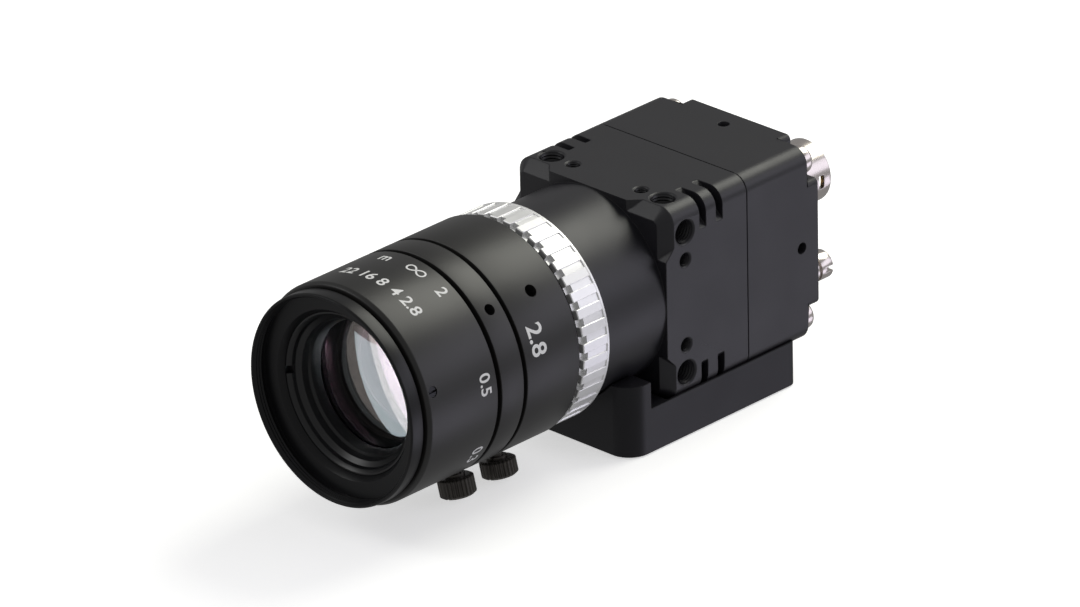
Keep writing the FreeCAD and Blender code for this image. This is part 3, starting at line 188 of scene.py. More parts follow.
class Wire:
    """A shader socket that takes part in Python arithmetic."""

    def __init__(self, finish, socket):
        self.finish = finish
        self.socket = socket

    def maths(self, operation, first, second):
        return self.finish.node("ShaderNodeMath", {"operation": operation},
                                {0: first, 1: second})

    def __add__(self, other):
        return self.maths("ADD", self, other)

    def __radd__(self, other):
        return self.maths("ADD", other, self)

    def __sub__(self, other):
        return self.maths("SUBTRACT", self, other)

    def __rsub__(self, other):
        return self.maths("SUBTRACT", other, self)

    def __mul__(self, other):
        return self.maths("MULTIPLY", self, other)

    def __rmul__(self, other):
        return self.maths("MULTIPLY", other, self)


class Finish:
    """A material built from nodes, with the principled shader at its end."""

    def __init__(self, name):
        self.material = bpy.data.materials.new(name)
        self.material.use_nodes = True
        self.tree = self.material.node_tree
        self.tree.nodes.clear()
        self.end = self.tree.nodes.new("ShaderNodeOutputMaterial")
        self.shader = self.tree.nodes.new("ShaderNodeBsdfPrincipled")
        self.tree.links.new(self.shader.outputs[0], self.end.inputs["Surface"])

    def node(self, kind, settings=None, sockets=None, output=0):
        """Any node: its settings first, then the values or links of its sockets."""
        made = self.tree.nodes.new(kind)
        for key, value in (settings or {}).items():
            setattr(made, key, value)
        for key, value in (sockets or {}).items():
            self.feed(made.inputs[key], value)
        return Wire(self, made.outputs[output])

    def feed(self, socket, value):
        if isinstance(value, Wire):
            self.tree.links.new(value.socket, socket)
            return
        if hasattr(value, "__len__") and len(value) == 3 and socket.type == "RGBA":
            value = (*value, 1.0)
        socket.default_value = value

    def surface(self, **values):
        for key, value in values.items():
            self.feed(self.shader.inputs[key.replace("_", " ")], value)
        return self

    def place(self):
        return self.node("ShaderNodeTexCoord", output=3)

    def grain(self, scale, detail=2.0, rough=0.5):
        """Fine three-dimensional noise; scale is in cells a metre."""
        sockets = {"Vector": self.place(), "Scale": scale, "Detail": detail,
                   "Roughness": rough}
        return self.node("ShaderNodeTexNoise", {}, sockets)

    def turned_lines(self, scale):
        """Noise that changes only along the lens axis, as lathe marks do."""
        along = self.node("ShaderNodeSeparateXYZ", {}, {0: self.place()}, output=1)
        return self.node("ShaderNodeTexNoise", {"noise_dimensions": "1D"},
                         {"W": along * scale, "Scale": 1.0, "Detail": 3.0})

    def mixed(self, factor, first, second):
        return self.node("ShaderNodeMix", {"data_type": "RGBA"},
                         {0: factor, 6: first, 7: second}, output=2)

    def bumped(self, height, depth, strength=1.0):
        bump = self.node("ShaderNodeBump", {}, {"Height": height, "Distance": depth,
                                               "Strength": strength})
        return self.surface(Normal=bump)


def shade(colour, factor):
    return tuple(min(1.0, c * factor) for c in colour)


def anodised(name, colour, roughness, gloss=0.5):
    """Bead-blasted black anodising: fine even grain and faint tone changes."""
    made = Finish(name)
    tone = made.grain(140.0, 3.0)
    fine = made.grain(9000.0, 2.0)
    made.surface(Base_Color=made.mixed(tone, shade(colour, 0.82), shade(colour, 1.22)))
    made.surface(Roughness=roughness + 0.10 * (tone - 0.5) + 0.05 * (fine - 0.5))
    made.surface(Metallic=0.0, IOR=1.5, Specular_IOR_Level=gloss)
    made.bumped(fine, 0.004 * MM, 0.35)
    return made.material


def turned_black(name, colour, roughness, gloss=0.5):
    """Black anodising over a turned surface, with hair-fine lathe marks."""
    made = Finish(name)
    marks = made.turned_lines(14000.0)
    tone = made.grain(160.0, 3.0)
    fine = made.grain(12000.0, 1.0)
    made.surface(Base_Color=made.mixed(tone, shade(colour, 0.85), shade(colour, 1.2)))
    made.surface(Roughness=roughness + 0.09 * (marks - 0.5) + 0.06 * (tone - 0.5))
    made.surface(IOR=1.5, Specular_IOR_Level=gloss)
    made.bumped(0.6 * marks + 0.4 * fine, 0.003 * MM, 0.30)
    return made.material


def bright_metal(name, colour, roughness, mark_scale, metallic=1.0):
    """Bare or plated metal with fine turning marks and faint stains."""
    made = Finish(name)
    marks = made.turned_lines(mark_scale)
    stain = made.grain(420.0, 4.0)
    made.surface(Base_Color=made.mixed(stain, shade(colour, 0.90), shade(colour, 1.06)))
    made.surface(Metallic=metallic)
    made.surface(Roughness=roughness + 0.08 * (marks - 0.5) + 0.08 * (stain - 0.5))
    made.bumped(marks, 0.003 * MM, 0.25)
    return made.material


def moulded(name, colour, roughness):
    """Moulded plastic or a lacquered board with a light orange-peel grain."""
    made = Finish(name)
    peel = made.grain(1800.0, 2.0)
    made.surface(Base_Color=made.mixed(peel, shade(colour, 0.8), shade(colour, 1.2)))
    made.surface(Roughness=roughness + 0.08 * (peel - 0.5))
    made.bumped(peel, 0.01 * MM, 0.2)
    return made.material


def printed(name, colour):
    """Slightly uneven white printing ink."""
    made = Finish(name)
    wear = made.grain(2600.0, 4.0, 0.7)
    made.surface(Base_Color=made.mixed(wear, shade(colour, 0.84), colour))
    made.surface(Roughness=0.5 + 0.1 * (wear - 0.5))
    return made.material


def coated_glass(name, tint, glow, roughness=0.01):
    """Polished optical glass whose coating gives its reflections a faint colour."""
    made = Finish(name)
    haze = made.grain(900.0, 3.0)
    made.surface(Base_Color=tint, Transmission_Weight=1.0, IOR=1.5)
    made.surface(Specular_Tint=(*glow, 1.0))
    made.surface(Roughness=roughness + 0.01 * haze)
    return made.material


# ---------------------------------------------------------------- mesh making


def finished(name, mesh, material, body, replaced=(), sharp=32.0):
    """Put a mesh in the scene as a piece that rides on a body."""
    mesh.shade_smooth()
    mesh.set_sharp_from_angle(angle=math.radians(sharp))
    mesh.materials.clear()
    mesh.materials.append(material)
    made = bpy.data.objects.new(name, mesh)
    bpy.context.scene.collection.objects.link(made)
    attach(made, body)
    if replaced:
        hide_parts(*replaced)
    return made


def softened(outline, radius, steps=3):
    """Round the corners of a closed outline of (along, radius) points."""
    rounded = []
    count = len(outline)
    for k in range(count):
        here = Vector(outline[k])
        before = Vector(outline[k - 1]) - here
        after = Vector(outline[(k + 1) % count]) - here
        reach = min(radius, before.length * 0.45, after.length * 0.45)
        straight = abs(before.angle(after, 0.0) - math.pi) < math.radians(8)
        if reach < 1e-6 or straight:
            rounded.append(here)
            continue
        start = here + before.normalized() * reach
        end = here + after.normalized() * reach
        for step in range(steps + 1):
            t = step / steps
            rounded.append((1 - t) ** 2 * start + 2 * t * (1 - t) * here + t * t * end)
    return rounded


def lathe(outline, segments, centre=(0.0, AXIS_HEIGHT), offset=0.0):
    """A ring turned about a line along Y: outline points are (y, radius)."""
    shape = bmesh.new()
    rings = []
    for k in range(segments):
        angle = 2 * math.pi * k / segments
        cos, sin = math.cos(angle), math.sin(angle)
        rings.append([shape.verts.new((centre[0] + p[1] * cos, offset + p[0],
                                       centre[1] + p[1] * sin)) for p in outline])
    count = len(outline)
    for k in range(segments):
        here, there = rings[k], rings[(k + 1) % segments]
        for j in range(count):
            corners = (here[j], here[(j + 1) % count], there[(j + 1) % count], there[j])
            shape.faces.new(corners)
    bmesh.ops.recalc_face_normals(shape, faces=shape.faces)
    return shape


def disc_lathe(outline, segments, centre=(0.0, AXIS_HEIGHT), offset=0.0):
    """A solid turned about a line along Y whose outline starts and ends on that line."""
    shape = bmesh.new()
    first = shape.verts.new((centre[0], offset + outline[0][0], centre[1]))
    last = shape.verts.new((centre[0], offset + outline[-1][0], centre[1]))
    inner = outline[1:-1]
    rings = []
    for k in range(segments):
        angle = 2 * math.pi * k / segments
        cos, sin = math.cos(angle), math.sin(angle)
        rings.append([shape.verts.new((centre[0] + p[1] * cos, offset + p[0],
                                       centre[1] + p[1] * sin)) for p in inner])
    for k in range(segments):
        here, there = rings[k], rings[(k + 1) % segments]
        shape.faces.new((first, here[0], there[0]))
        shape.faces.new((last, there[-1], here[-1]))
        for j in range(len(inner) - 1):
            shape.faces.new((here[j], here[j + 1], there[j + 1], there[j]))
    bmesh.ops.recalc_face_normals(shape, faces=shape.faces)
    return shape


def ribbed(rings):
    """A closed form lofted through rings of points, capped at both ends."""
    shape = bmesh.new()
    rows = [[shape.verts.new(p) for p in ring] for ring in rings]
    count = len(rows[0])
    for lower, upper in zip(rows, rows[1:]):
        for j in range(count):
            shape.faces.new((lower[j], lower[(j + 1) % count], upper[(j + 1) % count], upper[j]))
    shape.faces.new(rows[0])
    shape.faces.new(rows[-1])
    bmesh.ops.recalc_face_normals(shape, faces=shape.faces)
    return shape


def mesh_of(shape, name):
    made = bpy.data.meshes.new(name)
    shape.to_mesh(made)
    shape.free()
    return made


def round_bar(start, end, radius, segments=40):
    """A cutter for a round hole between two points."""
    axis = Vector(end) - Vector(start)
    spin = axis.to_track_quat("Z", "Y").to_matrix().to_4x4()
    shape = bmesh.new()
    bmesh.ops.create_cone(shape, cap_ends=True, segments=segments, radius1=radius,
                          radius2=radius, depth=axis.length)
    middle = (Vector(start) + Vector(end)) / 2
    bmesh.ops.transform(shape, matrix=Matrix.Translation(middle) @ spin, verts=shape.verts)
    return shape


def radial(angle, along, reach):
    """A point at an angle about the lens axis, from +X towards +Z."""
    turned = math.radians(angle)
    return Vector((reach * math.cos(turned), along, AXIS_HEIGHT + reach * math.sin(turned)))


def carved(mesh, cutters):
    """The mesh with closed cutter forms taken out of it."""
    holder = bpy.data.objects.new("carving", mesh)
    bpy.context.scene.collection.objects.link(holder)
    tools = []
    for shape in cutters:
        tool = bpy.data.objects.new("cutter", mesh_of(shape, "cutter"))
        bpy.context.scene.collection.objects.link(tool)
        cut = holder.modifiers.new("cut", "BOOLEAN")
        cut.operation = "DIFFERENCE"
        cut.solver = "EXACT"
        cut.object = tool
        tools.append(tool)
    result = evaluated(holder)
    for tool in tools:
        spent = tool.data
        bpy.data.objects.remove(tool)
        bpy.data.meshes.remove(spent)
    return result


def evaluated(holder):
    """The mesh that an object shows once its modifiers have run; the object is used up."""
    ready = bpy.context.evaluated_depsgraph_get()
    result = bpy.data.meshes.new_from_object(holder.evaluated_get(ready))
    spent = holder.data
    bpy.data.objects.remove(holder)
    bpy.data.meshes.remove(spent)
    return result


def machined(name, node, material, body, width, cutters=()):
    """A machined piece in its solid's own form with its sharp edges broken."""
    shape = bmesh.new()
    shape.from_mesh(frame["nodes"][node].data)
    bmesh.ops.remove_doubles(shape, verts=shape.verts, dist=0.002 * MM)
    bmesh.ops.dissolve_limit(shape, angle_limit=math.radians(0.6), verts=shape.verts,
                             edges=shape.edges)
    blank = bpy.data.objects.new("blank", mesh_of(shape, name))
    bpy.context.scene.collection.objects.link(blank)
    bevel = blank.modifiers.new("edge_break", "BEVEL")
    bevel.width = width
    bevel.segments = 2
    bevel.limit_method = "ANGLE"
    bevel.angle_limit = math.radians(40)
    bevel.use_clamp_overlap = False
    bevel.miter_outer = "MITER_ARC"
    mesh = evaluated(blank)
    if cutters:
        mesh = carved(mesh, cutters)
    made = finished(name, mesh, material, body, (node,))
    even = made.modifiers.new("even_faces", "WEIGHTED_NORMAL")
    even.mode = "FACE_AREA"
    even.weight = 100
    even.keep_sharp = True
    return made


def thread_turns(shape, spot, into, radius, pitch, turns):
    """Add the thread of a round hole, as a thin ridged sleeve in its wall."""
    crest = radius - 0.3 * pitch
    outline = [(0.3 * pitch, radius + 0.01 * MM)]
    for k in range(turns):
        outline += [((k + 0.5) * pitch, radius - 0.005 * MM), ((k + 1) * pitch, crest)]
    outline += [((turns + 0.5) * pitch, radius + 0.01 * MM)]
    sleeve = lathe(outline, 40, (0.0, 0.0))
    spin = Vector((0, 1, 0)).rotation_difference(into).to_matrix().to_4x4()
    bmesh.ops.transform(sleeve, matrix=Matrix.Translation(spot) @ spin, verts=sleeve.verts)
    part = mesh_of(sleeve, "sleeve")
    shape.from_mesh(part)
    bpy.data.meshes.remove(part)


def square_groove(along, half, corner, reach):
    """A narrow diamond-section cutter that runs round a square body like a seam."""
    shape = bmesh.new()
    half_width = reach * 0.36
    section = ((-half_width, 0.0), (0.0, reach), (half_width, 0.0), (0.0, -reach))
    steps = 8
    rings = []
    for quarter in range(4):
        for step in range(steps + 1):
            angle = math.pi / 2 * (quarter + step / steps)
            turn = Vector((math.cos(angle), math.sin(angle)))
            middle = math.pi / 2 * (quarter + 0.5)
            spread = Vector((math.cos(middle), math.sin(middle))) * math.sqrt(2)
            centre = spread * (half - corner)
            ring = []
            for forward, outward in section:
                spot = centre + turn * (corner + outward)
                ring.append(shape.verts.new((spot.x, along + forward, AXIS_HEIGHT + spot.y)))
            rings.append(ring)
    for here, there in zip(rings, rings[1:] + rings[:1]):
        for j in range(4):
            n = (j + 1) % 4
            shape.faces.new((here[j], here[n], there[n], there[j]))
    bmesh.ops.recalc_face_normals(shape, faces=shape.faces)
    return shape


def printed_word(name, word, size, along, angle, radius, body, material):
    """Numbers printed round a ring, reading down the visible side, tops to the rear."""
    curve = bpy.data.curves.new(name, "FONT")
    curve.body = word
    curve.size = size / 0.7
    curve.offset = 0.016 * curve.size
    curve.align_x = "CENTER"
    curve.align_y = "CENTER"
    curve.resolution_u = 6
    holder = bpy.data.objects.new(name + "_flat", curve)
    bpy.context.scene.collection.objects.link(holder)
    ready = bpy.context.evaluated_depsgraph_get()
    mesh = bpy.data.meshes.new_from_object(holder.evaluated_get(ready))
    bpy.data.objects.remove(holder)
    bpy.data.curves.remove(curve)
    wrapped(name, mesh, along, angle, radius, body, material)


def wrapped(name, mesh, along, angle, radius, body, material):
    """Bend a flat mark round the lens axis and lift it a skin's thickness off the ring."""
    shape = bmesh.new()
    shape.from_mesh(mesh)
    bpy.data.meshes.remove(mesh)
    bmesh.ops.triangulate(shape, faces=shape.faces)
    bmesh.ops.subdivide_edges(shape, edges=shape.edges, cuts=1)
    for vertex in shape.verts:
        reach = radius + sizes().ink
        theta = math.radians(angle) - vertex.co.x / radius
        vertex.co = Vector((reach * math.cos(theta), along + vertex.co.y,
                            AXIS_HEIGHT + reach * math.sin(theta)))
    finished(name, mesh_of(shape, name), material, body)


def infinity_mark(size):
    """A flat figure of eight drawn as a ribbon."""
    shape = bmesh.new()
    steps = 72
    inner, outer = [], []
    for k in range(steps):
        t = 2 * math.pi * k / steps
        scale = size * 0.95 / (1 + math.sin(t) ** 2)
        here = Vector((scale * math.cos(t), scale * math.sin(t) * math.cos(t) * 1.15, 0))
        t2 = t + 0.01
        scale2 = size * 0.95 / (1 + math.sin(t2) ** 2)
        ahead = Vector((scale2 * math.cos(t2), scale2 * math.sin(t2) * math.cos(t2) * 1.15, 0))
        side = (ahead - here).normalized().cross(Vector((0, 0, 1))) * size * 0.085
        inner.append(shape.verts.new(here - side))
        outer.append(shape.verts.new(here + side))
    for k in range(steps):
        n = (k + 1) % steps
        shape.faces.new((inner[k], inner[n], outer[n], outer[k]))
    return mesh_of(shape, "infinity_flat")


# ---------------------------------------------------------------- operators


class StageOperator(bpy.types.Operator):
    """Set the floor, the soft lights and the view"""

    bl_idname = "camera_part.stage"
    bl_label = "Stage"

    def execute(self, context):
        settings = context.scene.camera_part_stage
        self.floor(settings)
        self.lights()
        self.view(settings)
        return {"FINISHED"}

    def floor(self, settings):
        shape = bmesh.new()
        bmesh.ops.create_grid(shape, x_segments=4, y_segments=4, size=6.0)
        mesh = mesh_of(shape, "floor")
        ground = Finish("floor_paper")
        tooth = ground.grain(60.0, 2.0)
        ground.surface(Base_Color=ground.mixed(tooth, shade(settings.floor, 0.99),
                                               tuple(settings.floor)), Roughness=0.9)
        ground.surface(Emission_Color=(1.0, 1.0, 1.0), Emission_Strength=0.55)
        mesh.materials.append(ground.material)
        made = bpy.data.objects.new("floor", mesh)
        made.location.z = -0.0002
        made.visible_diffuse = False
        made.visible_glossy = False
        made.visible_shadow = False
        bpy.context.scene.collection.objects.link(made)

    def lights(self):
        world = bpy.data.worlds.new("studio")
        world.use_nodes = True
        back = world.node_tree.nodes["Background"]
        back.inputs[0].default_value = (1.0, 1.0, 1.0, 1.0)
        back.inputs[1].default_value = 0.31
        bpy.context.scene.world = world
        for box in SOFTBOXES:
            self.softbox(*box)
        self.window()

    def window(self):
        """A light panel laid in front of the lens that only the glass mirrors."""
        lamp = bpy.data.lights.new("window", "AREA")
        lamp.shape = "RECTANGLE"
        lamp.size, lamp.size_y = WINDOW_SIZE
        lamp.energy = WINDOW_POWER
        lamp.color = (0.90, 0.96, 1.0)
        made = bpy.data.objects.new("window", lamp)
        turned = math.radians(WINDOW_TURN)
        edge = Vector((-math.sin(turned), -math.cos(turned), 0.0))
        aside = Vector((math.cos(turned), -math.sin(turned), 0.0))
        corner = Vector((0.001, MOUTH + 0.001, 0.0003))
        centre = corner + edge * lamp.size / 2 + aside * lamp.size_y / 2
        down = Vector((0.0, 0.0, -1.0))
        made.matrix_world = Matrix.Translation(centre) @ Matrix(
            (edge, -aside, down)).transposed().to_4x4()
        made.visible_camera = False
        made.visible_diffuse = False
        bpy.context.scene.collection.objects.link(made)
        lit = bpy.data.collections.new("mirrored_by")
        made.light_linking.receiver_collection = lit

    def softbox(self, name, spot, size, power, colour):
        lamp = bpy.data.lights.new(name, "AREA")
        lamp.color = colour
        lamp.shape = "RECTANGLE"
        lamp.size = size[0]
        lamp.size_y = size[1]
        lamp.energy = power
        made = bpy.data.objects.new(name, lamp)
        made.location = spot
        made.visible_camera = False
        aim = Vector(AIM) - Vector(spot)
        made.rotation_euler = aim.to_track_quat("-Z", "Y").to_euler()
        bpy.context.scene.collection.objects.link(made)

    def view(self, settings):
        a, e, r = settings.azimuth, settings.elevation, settings.roll
        back = Vector((math.sin(a) * math.cos(e), -math.cos(a) * math.cos(e), math.sin(e)))
        right = Vector((math.cos(a), math.sin(a), 0))
        up = back.cross(right)
        across = right * math.cos(r) + up * math.sin(r)
        high = up * math.cos(r) - right * math.sin(r)
        lens = bpy.data.cameras.new("view")
        lens.lens = settings.lens
        lens.sensor_width = 36.0
        lens.clip_start = 0.05
        lens.clip_end = 50.0
        made = bpy.data.objects.new("view", lens)
        pose = Matrix((across, high, back)).transposed().to_4x4()
        made.matrix_world = Matrix.Translation(Vector(VIEW_SPOT)) @ pose
        bpy.context.scene.collection.objects.link(made)
        bpy.context.scene.camera = made
        bpy.context.scene.view_settings.view_transform = "Standard"


class HousingOperator(bpy.types.Operator):
    """Dress the two housings and the mounting base"""

    bl_idname = "camera_part.housing"
    bl_label = "Housings and base"

    def execute(self, context):
        look = finishes()
        black = anodised("housing_black", tuple(look.housing), look.roughness)
        width = sizes().edge_break
        low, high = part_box("rear_housing")
        half = (high[0] - low[0]) / 2
        for node in ("front_housing", "rear_housing"):
            cutters = [square_groove(low[1], half, sizes().housing_round, sizes().seam)]
            machined(node + "_dressed", node, black, "camera", width, cutters)
        dark = anodised("base_black", shade(tuple(look.housing), 0.8), look.roughness, 0.3)
        machined("mounting_base_dressed", "mounting_base", dark, "camera",
                 width)
        turns = mesh_of(self.threads(), "housing_threads")
        finished("housing_threads", turns, black, "camera", sharp=25.0)
        return {"FINISHED"}

    def threads(self):
        """Thread turns for the screw holes in the sides and the top of the front housing."""
        made = bmesh.new()
        for mount in frame["record"]["mounts"]:
            if mount["kind"] != "bolt_pattern":
                continue
            into = -Vector(mount["axis"])
            dims = mount["dims"]
            apart = dims.get("spacing_x_mm") or dims["spacing_y_mm"]
            line = Vector((1, 0, 0)) if into.z else Vector((0, 0, 1))
            radius = dims["hole_r_mm"] * MM
            large = radius > 1.2 * MM
            pitch, turns = (0.5 * MM, 6) if large else (0.35 * MM, 5)
            for side in (-0.5, 0.5):
                spot = Vector(mount["pos_m"]) + line * apart * MM * side
                thread_turns(made, spot, into, radius, pitch, turns)
        return made


class RingsOperator(bpy.types.Operator):
    """Turn the focus, index and iris rings with their screw holes"""

    bl_idname = "camera_part.rings"
    bl_label = "Lens rings"

    def execute(self, context):
        black = turned_black("ring_black", tuple(finishes().barrel), 0.40)
        bore = RING_RADIUS - 3.0 * MM
        hole, lock_hole = 0.85 * MM, 1.05 * MM
        self.ring("iris_ring", IRIS_FRONT, IRIS_BACK, bore, black, "iris_ring",
                  [(HOLE_ANGLE, IRIS_HOLES, 0.95 * MM, HOLE_FLOOR),
                   (LOCK_ANGLE, IRIS_LOCK, lock_hole, DEEP_FLOOR)], 0.16)
        self.ring("index_ring", INDEX_FRONT, INDEX_BACK, bore, black, "camera",
                  [(HOLE_ANGLE, INDEX_HOLES, hole, DEEP_FLOOR),
                   (HOLE_ANGLE + 180.0, INDEX_HOLES, hole, DEEP_FLOOR),
                   (LOCK_ANGLE, INDEX_HOLES, lock_hole, DEEP_FLOOR)], 0.16)
        self.focus(black)
        self.grub_screw("iris_set_screw", IRIS_HOLES, 0.93 * MM, "iris_ring")
        self.grub_screw("guide_screw_top", INDEX_HOLES, 0.83 * MM, "camera")
        return {"FINISHED"}

    def grub_screw(self, node, along, radius, body):
        """A socket set screw sunk deep in its hole."""
        steel = bpy.data.materials.get("grub_steel")
        if steel is None:
            steel = bright_metal("grub_steel", (0.03, 0.03, 0.032), 0.4, 8000.0)
        foot, head = (radial(HOLE_ANGLE, FLANGE + along * MM, reach * MM)
                      for reach in (SCREW_FOOT, SCREW_TOP))
        key = round_bar(foot + (head - foot) * 0.4, foot + (head - foot) * 2.0, 0.5 * MM, 6)
        blank = mesh_of(round_bar(foot, head, radius), node)
        finished(node + "_dressed", carved(blank, [key]), steel, body, (node,))

    def ring(self, node, front, back, bore, material, body, holes, soften):
        outline = [(back * MM, bore), (back * MM, RING_RADIUS), (front * MM, RING_RADIUS),
                   (front * MM, bore)]
        self.finish_ring(node, outline, material, body, holes, soften)

    def finish_ring(self, node, outline, material, body, holes, soften):
        rounded = softened(outline, max(soften * MM, sizes().ring_break))
        mesh = mesh_of(lathe(rounded, sizes().segments, offset=FLANGE), node)
        cutters = [round_bar(radial(angle, FLANGE + along * MM, floor * MM),
                             radial(angle, FLANGE + along * MM, 18.0 * MM), radius)
                   for angle, along, radius, floor in holes]
        finished(node + "_dressed", carved(mesh, cutters), material, body,
                 (node,))

    def focus(self, material):
        front, back, end = FOCUS_FRONT * MM, FOCUS_BACK * MM, SKIRT_END * MM
        skirt = 14.55 * MM
        outline = [
            (end, 13.45 * MM), (end, skirt), (back, skirt),
            (back, RING_RADIUS), (front + 0.55 * MM, RING_RADIUS),
            (front, RING_RADIUS - 0.35 * MM), (front, 14.65 * MM), (-27.3 * MM, 14.65 * MM),
            (-26.0 * MM, 13.45 * MM),
        ]
        holes = [(FOCUS_SCREW_ANGLE + 120.0 * k, FOCUS_HOLES, 0.8 * MM, FOCUS_FLOOR)
                 for k in range(3)]
        self.finish_ring("focus_ring", outline, material, "focus_ring", holes, 0.14)


class MountRingOperator(bpy.types.Operator):
    """Cut the bright toothed ring behind the iris ring"""

    bl_idname = "camera_part.mount_ring"
    bl_label = "Mount ring"

    def execute(self, context):
        bright = bright_metal("bright_ring", tuple(finishes().bright), 0.40, 9000.0, 0.6)
        bore = GRIP_BORE * MM
        front, shoulder = FLANGE - 5.2 * MM, FLANGE - 0.45 * MM
        notch = front + sizes().notch_length
        deep, shallow = GRIP_DEEP * MM, GRIP_SHALLOW * MM
        rings = [self.toothed(front, deep, 0.12 * MM), self.toothed(front + 0.12 * MM, deep),
                 self.toothed(notch, deep), self.toothed(notch + 0.02 * MM, shallow),
                 self.toothed(shoulder, shallow)]
        grip = mesh_of(ribbed(rings), "grip")
        grip = carved(grip, [round_bar((0, front - MM, AXIS_HEIGHT),
                                       (0, shoulder + MM, AXIS_HEIGHT), bore, 96)])
        collar = lathe(softened([
            (-0.45 * MM, bore), (-0.45 * MM, GRIP_CREST * MM), (0.0, GRIP_CREST * MM),
            (0.0, 12.0 * MM), (0.7 * MM, 12.0 * MM), (0.7 * MM, 12.65 * MM),
            (3.8 * MM, 12.65 * MM), (3.8 * MM, 10.4 * MM), (-0.4 * MM, 10.4 * MM),
        ], 0.1 * MM), sizes().segments, offset=FLANGE)
        whole = bmesh.new()
        whole.from_mesh(grip)
        ring = mesh_of(collar, "collar")
        whole.from_mesh(ring)
        finished("mount_ring_dressed", mesh_of(whole, "mount_ring_dressed"), bright,
                 "camera", ("mount_ring",), sharp=24.0)
        return {"FINISHED"}

    def toothed(self, along, root, inset=0.0):
        """One toothed section of the grip; the inset draws the crests in at the rim."""
        count = sizes().grip_teeth
        crest = GRIP_CREST * MM
        pitch = 360.0 / count
        gap, lip = pitch * sizes().gap_share / 2, 0.22
        points = []
        for k in range(count):
            middle = 7.7 + pitch * k
            marks = [(-gap - lip, crest - inset), (-gap, crest - 0.06 * MM - inset),
                     (-gap + 0.12, root), (-gap / 3, root), (gap / 3, root),
                     (gap - 0.12, root), (gap, crest - 0.06 * MM - inset),
                     (gap + lip, crest - inset)]
            for offset, reach in marks:
                points.append(radial(middle + offset, along, reach))
        return points


class FrontBarrelOperator(bpy.types.Operator):
    """Turn the front rim with its filter thread and the stepped mouth"""

    bl_idname = "camera_part.front_barrel"
    bl_label = "Front barrel and mouth"

    def execute(self, context):
        black = turned_black("rim_black", tuple(finishes().inner), 0.34, 0.3)
        inner = turned_black("mouth_black", tuple(finishes().inner), 0.34, 0.5)
        self.barrel(black)
        self.retainer(inner)
        for node in ("lens_barrel", "iris_seat", "iris_retainer", "iris_rotor", "lens_spacer",
                     "rear_cell", "rear_spacer", "rear_retainer", "filter_ring"):
            given(node, inner)
        return {"FINISHED"}

    def barrel(self, material):
        pitch = sizes().thread_pitch
        depth = sizes().thread_depth
        bore = 15.0 * MM
        outline = [
            (-17.3 * MM, 12.0 * MM), (-17.3 * MM, 12.9 * MM), (-28.2 * MM, 12.9 * MM),
            (-28.2 * MM, 14.5 * MM), (-36.7 * MM, 14.5 * MM), (-36.7 * MM, 15.55 * MM),
            (-36.85 * MM, 15.75 * MM), (THREAD_START * MM, 15.75 * MM),
            (RIM_FRONT * MM, 15.6 * MM), (RIM_FRONT * MM, 15.32 * MM),
            (THREAD_START * MM, bore + depth),
        ]
        along = THREAD_START * MM + pitch / 2
        while along < THREAD_END * MM:
            outline += [(along, bore), (along + pitch / 2, bore + depth)]
            along += pitch
        outline += [
            (-36.8 * MM, bore + depth), (-36.8 * MM, 12.65 * MM),
            (-35.85 * MM, 12.05 * MM), (-31.2 * MM, 12.05 * MM), (-31.2 * MM, 11.25 * MM),
            (-23.0 * MM, 11.25 * MM), (-23.0 * MM, 9.4 * MM), (-22.0 * MM, 9.4 * MM),
            (-22.0 * MM, 12.0 * MM),
        ]
        mesh = mesh_of(lathe(softened(outline, 0.05 * MM, 2), sizes().segments, offset=FLANGE),
                       "front_barrel")
        finished("front_barrel_dressed", mesh, material, "front_barrel",
                 ("front_barrel",), sharp=28.0)

    def retainer(self, material):
        outline = [
            (-35.85 * MM, 12.0 * MM), (-35.85 * MM, 11.75 * MM), (-35.3 * MM, 11.3 * MM),
            (-34.75 * MM, 11.15 * MM), (-34.2 * MM, 10.45 * MM), (-33.3 * MM, 10.2 * MM),
            (-32.9 * MM, 9.9 * MM), (-31.45 * MM, 9.5 * MM), (-31.45 * MM, 12.0 * MM),
        ]
        mesh = mesh_of(lathe(softened(outline, 0.06 * MM, 2), sizes().segments, offset=FLANGE),
                       "front_retainer")
        notch = bmesh.new()
        bmesh.ops.create_cube(notch, size=1.0)
        size = Matrix.Diagonal((30 * MM, 1.8 * MM, 1.2 * MM, 1.0))
        spot = Matrix.Translation((0, FLANGE - 35.85 * MM, AXIS_HEIGHT))
        bmesh.ops.transform(notch, matrix=spot @ size, verts=notch.verts)
        finished("front_retainer_dressed", carved(mesh, [notch]), material, "front_barrel",
                 ("front_retainer",), sharp=28.0)


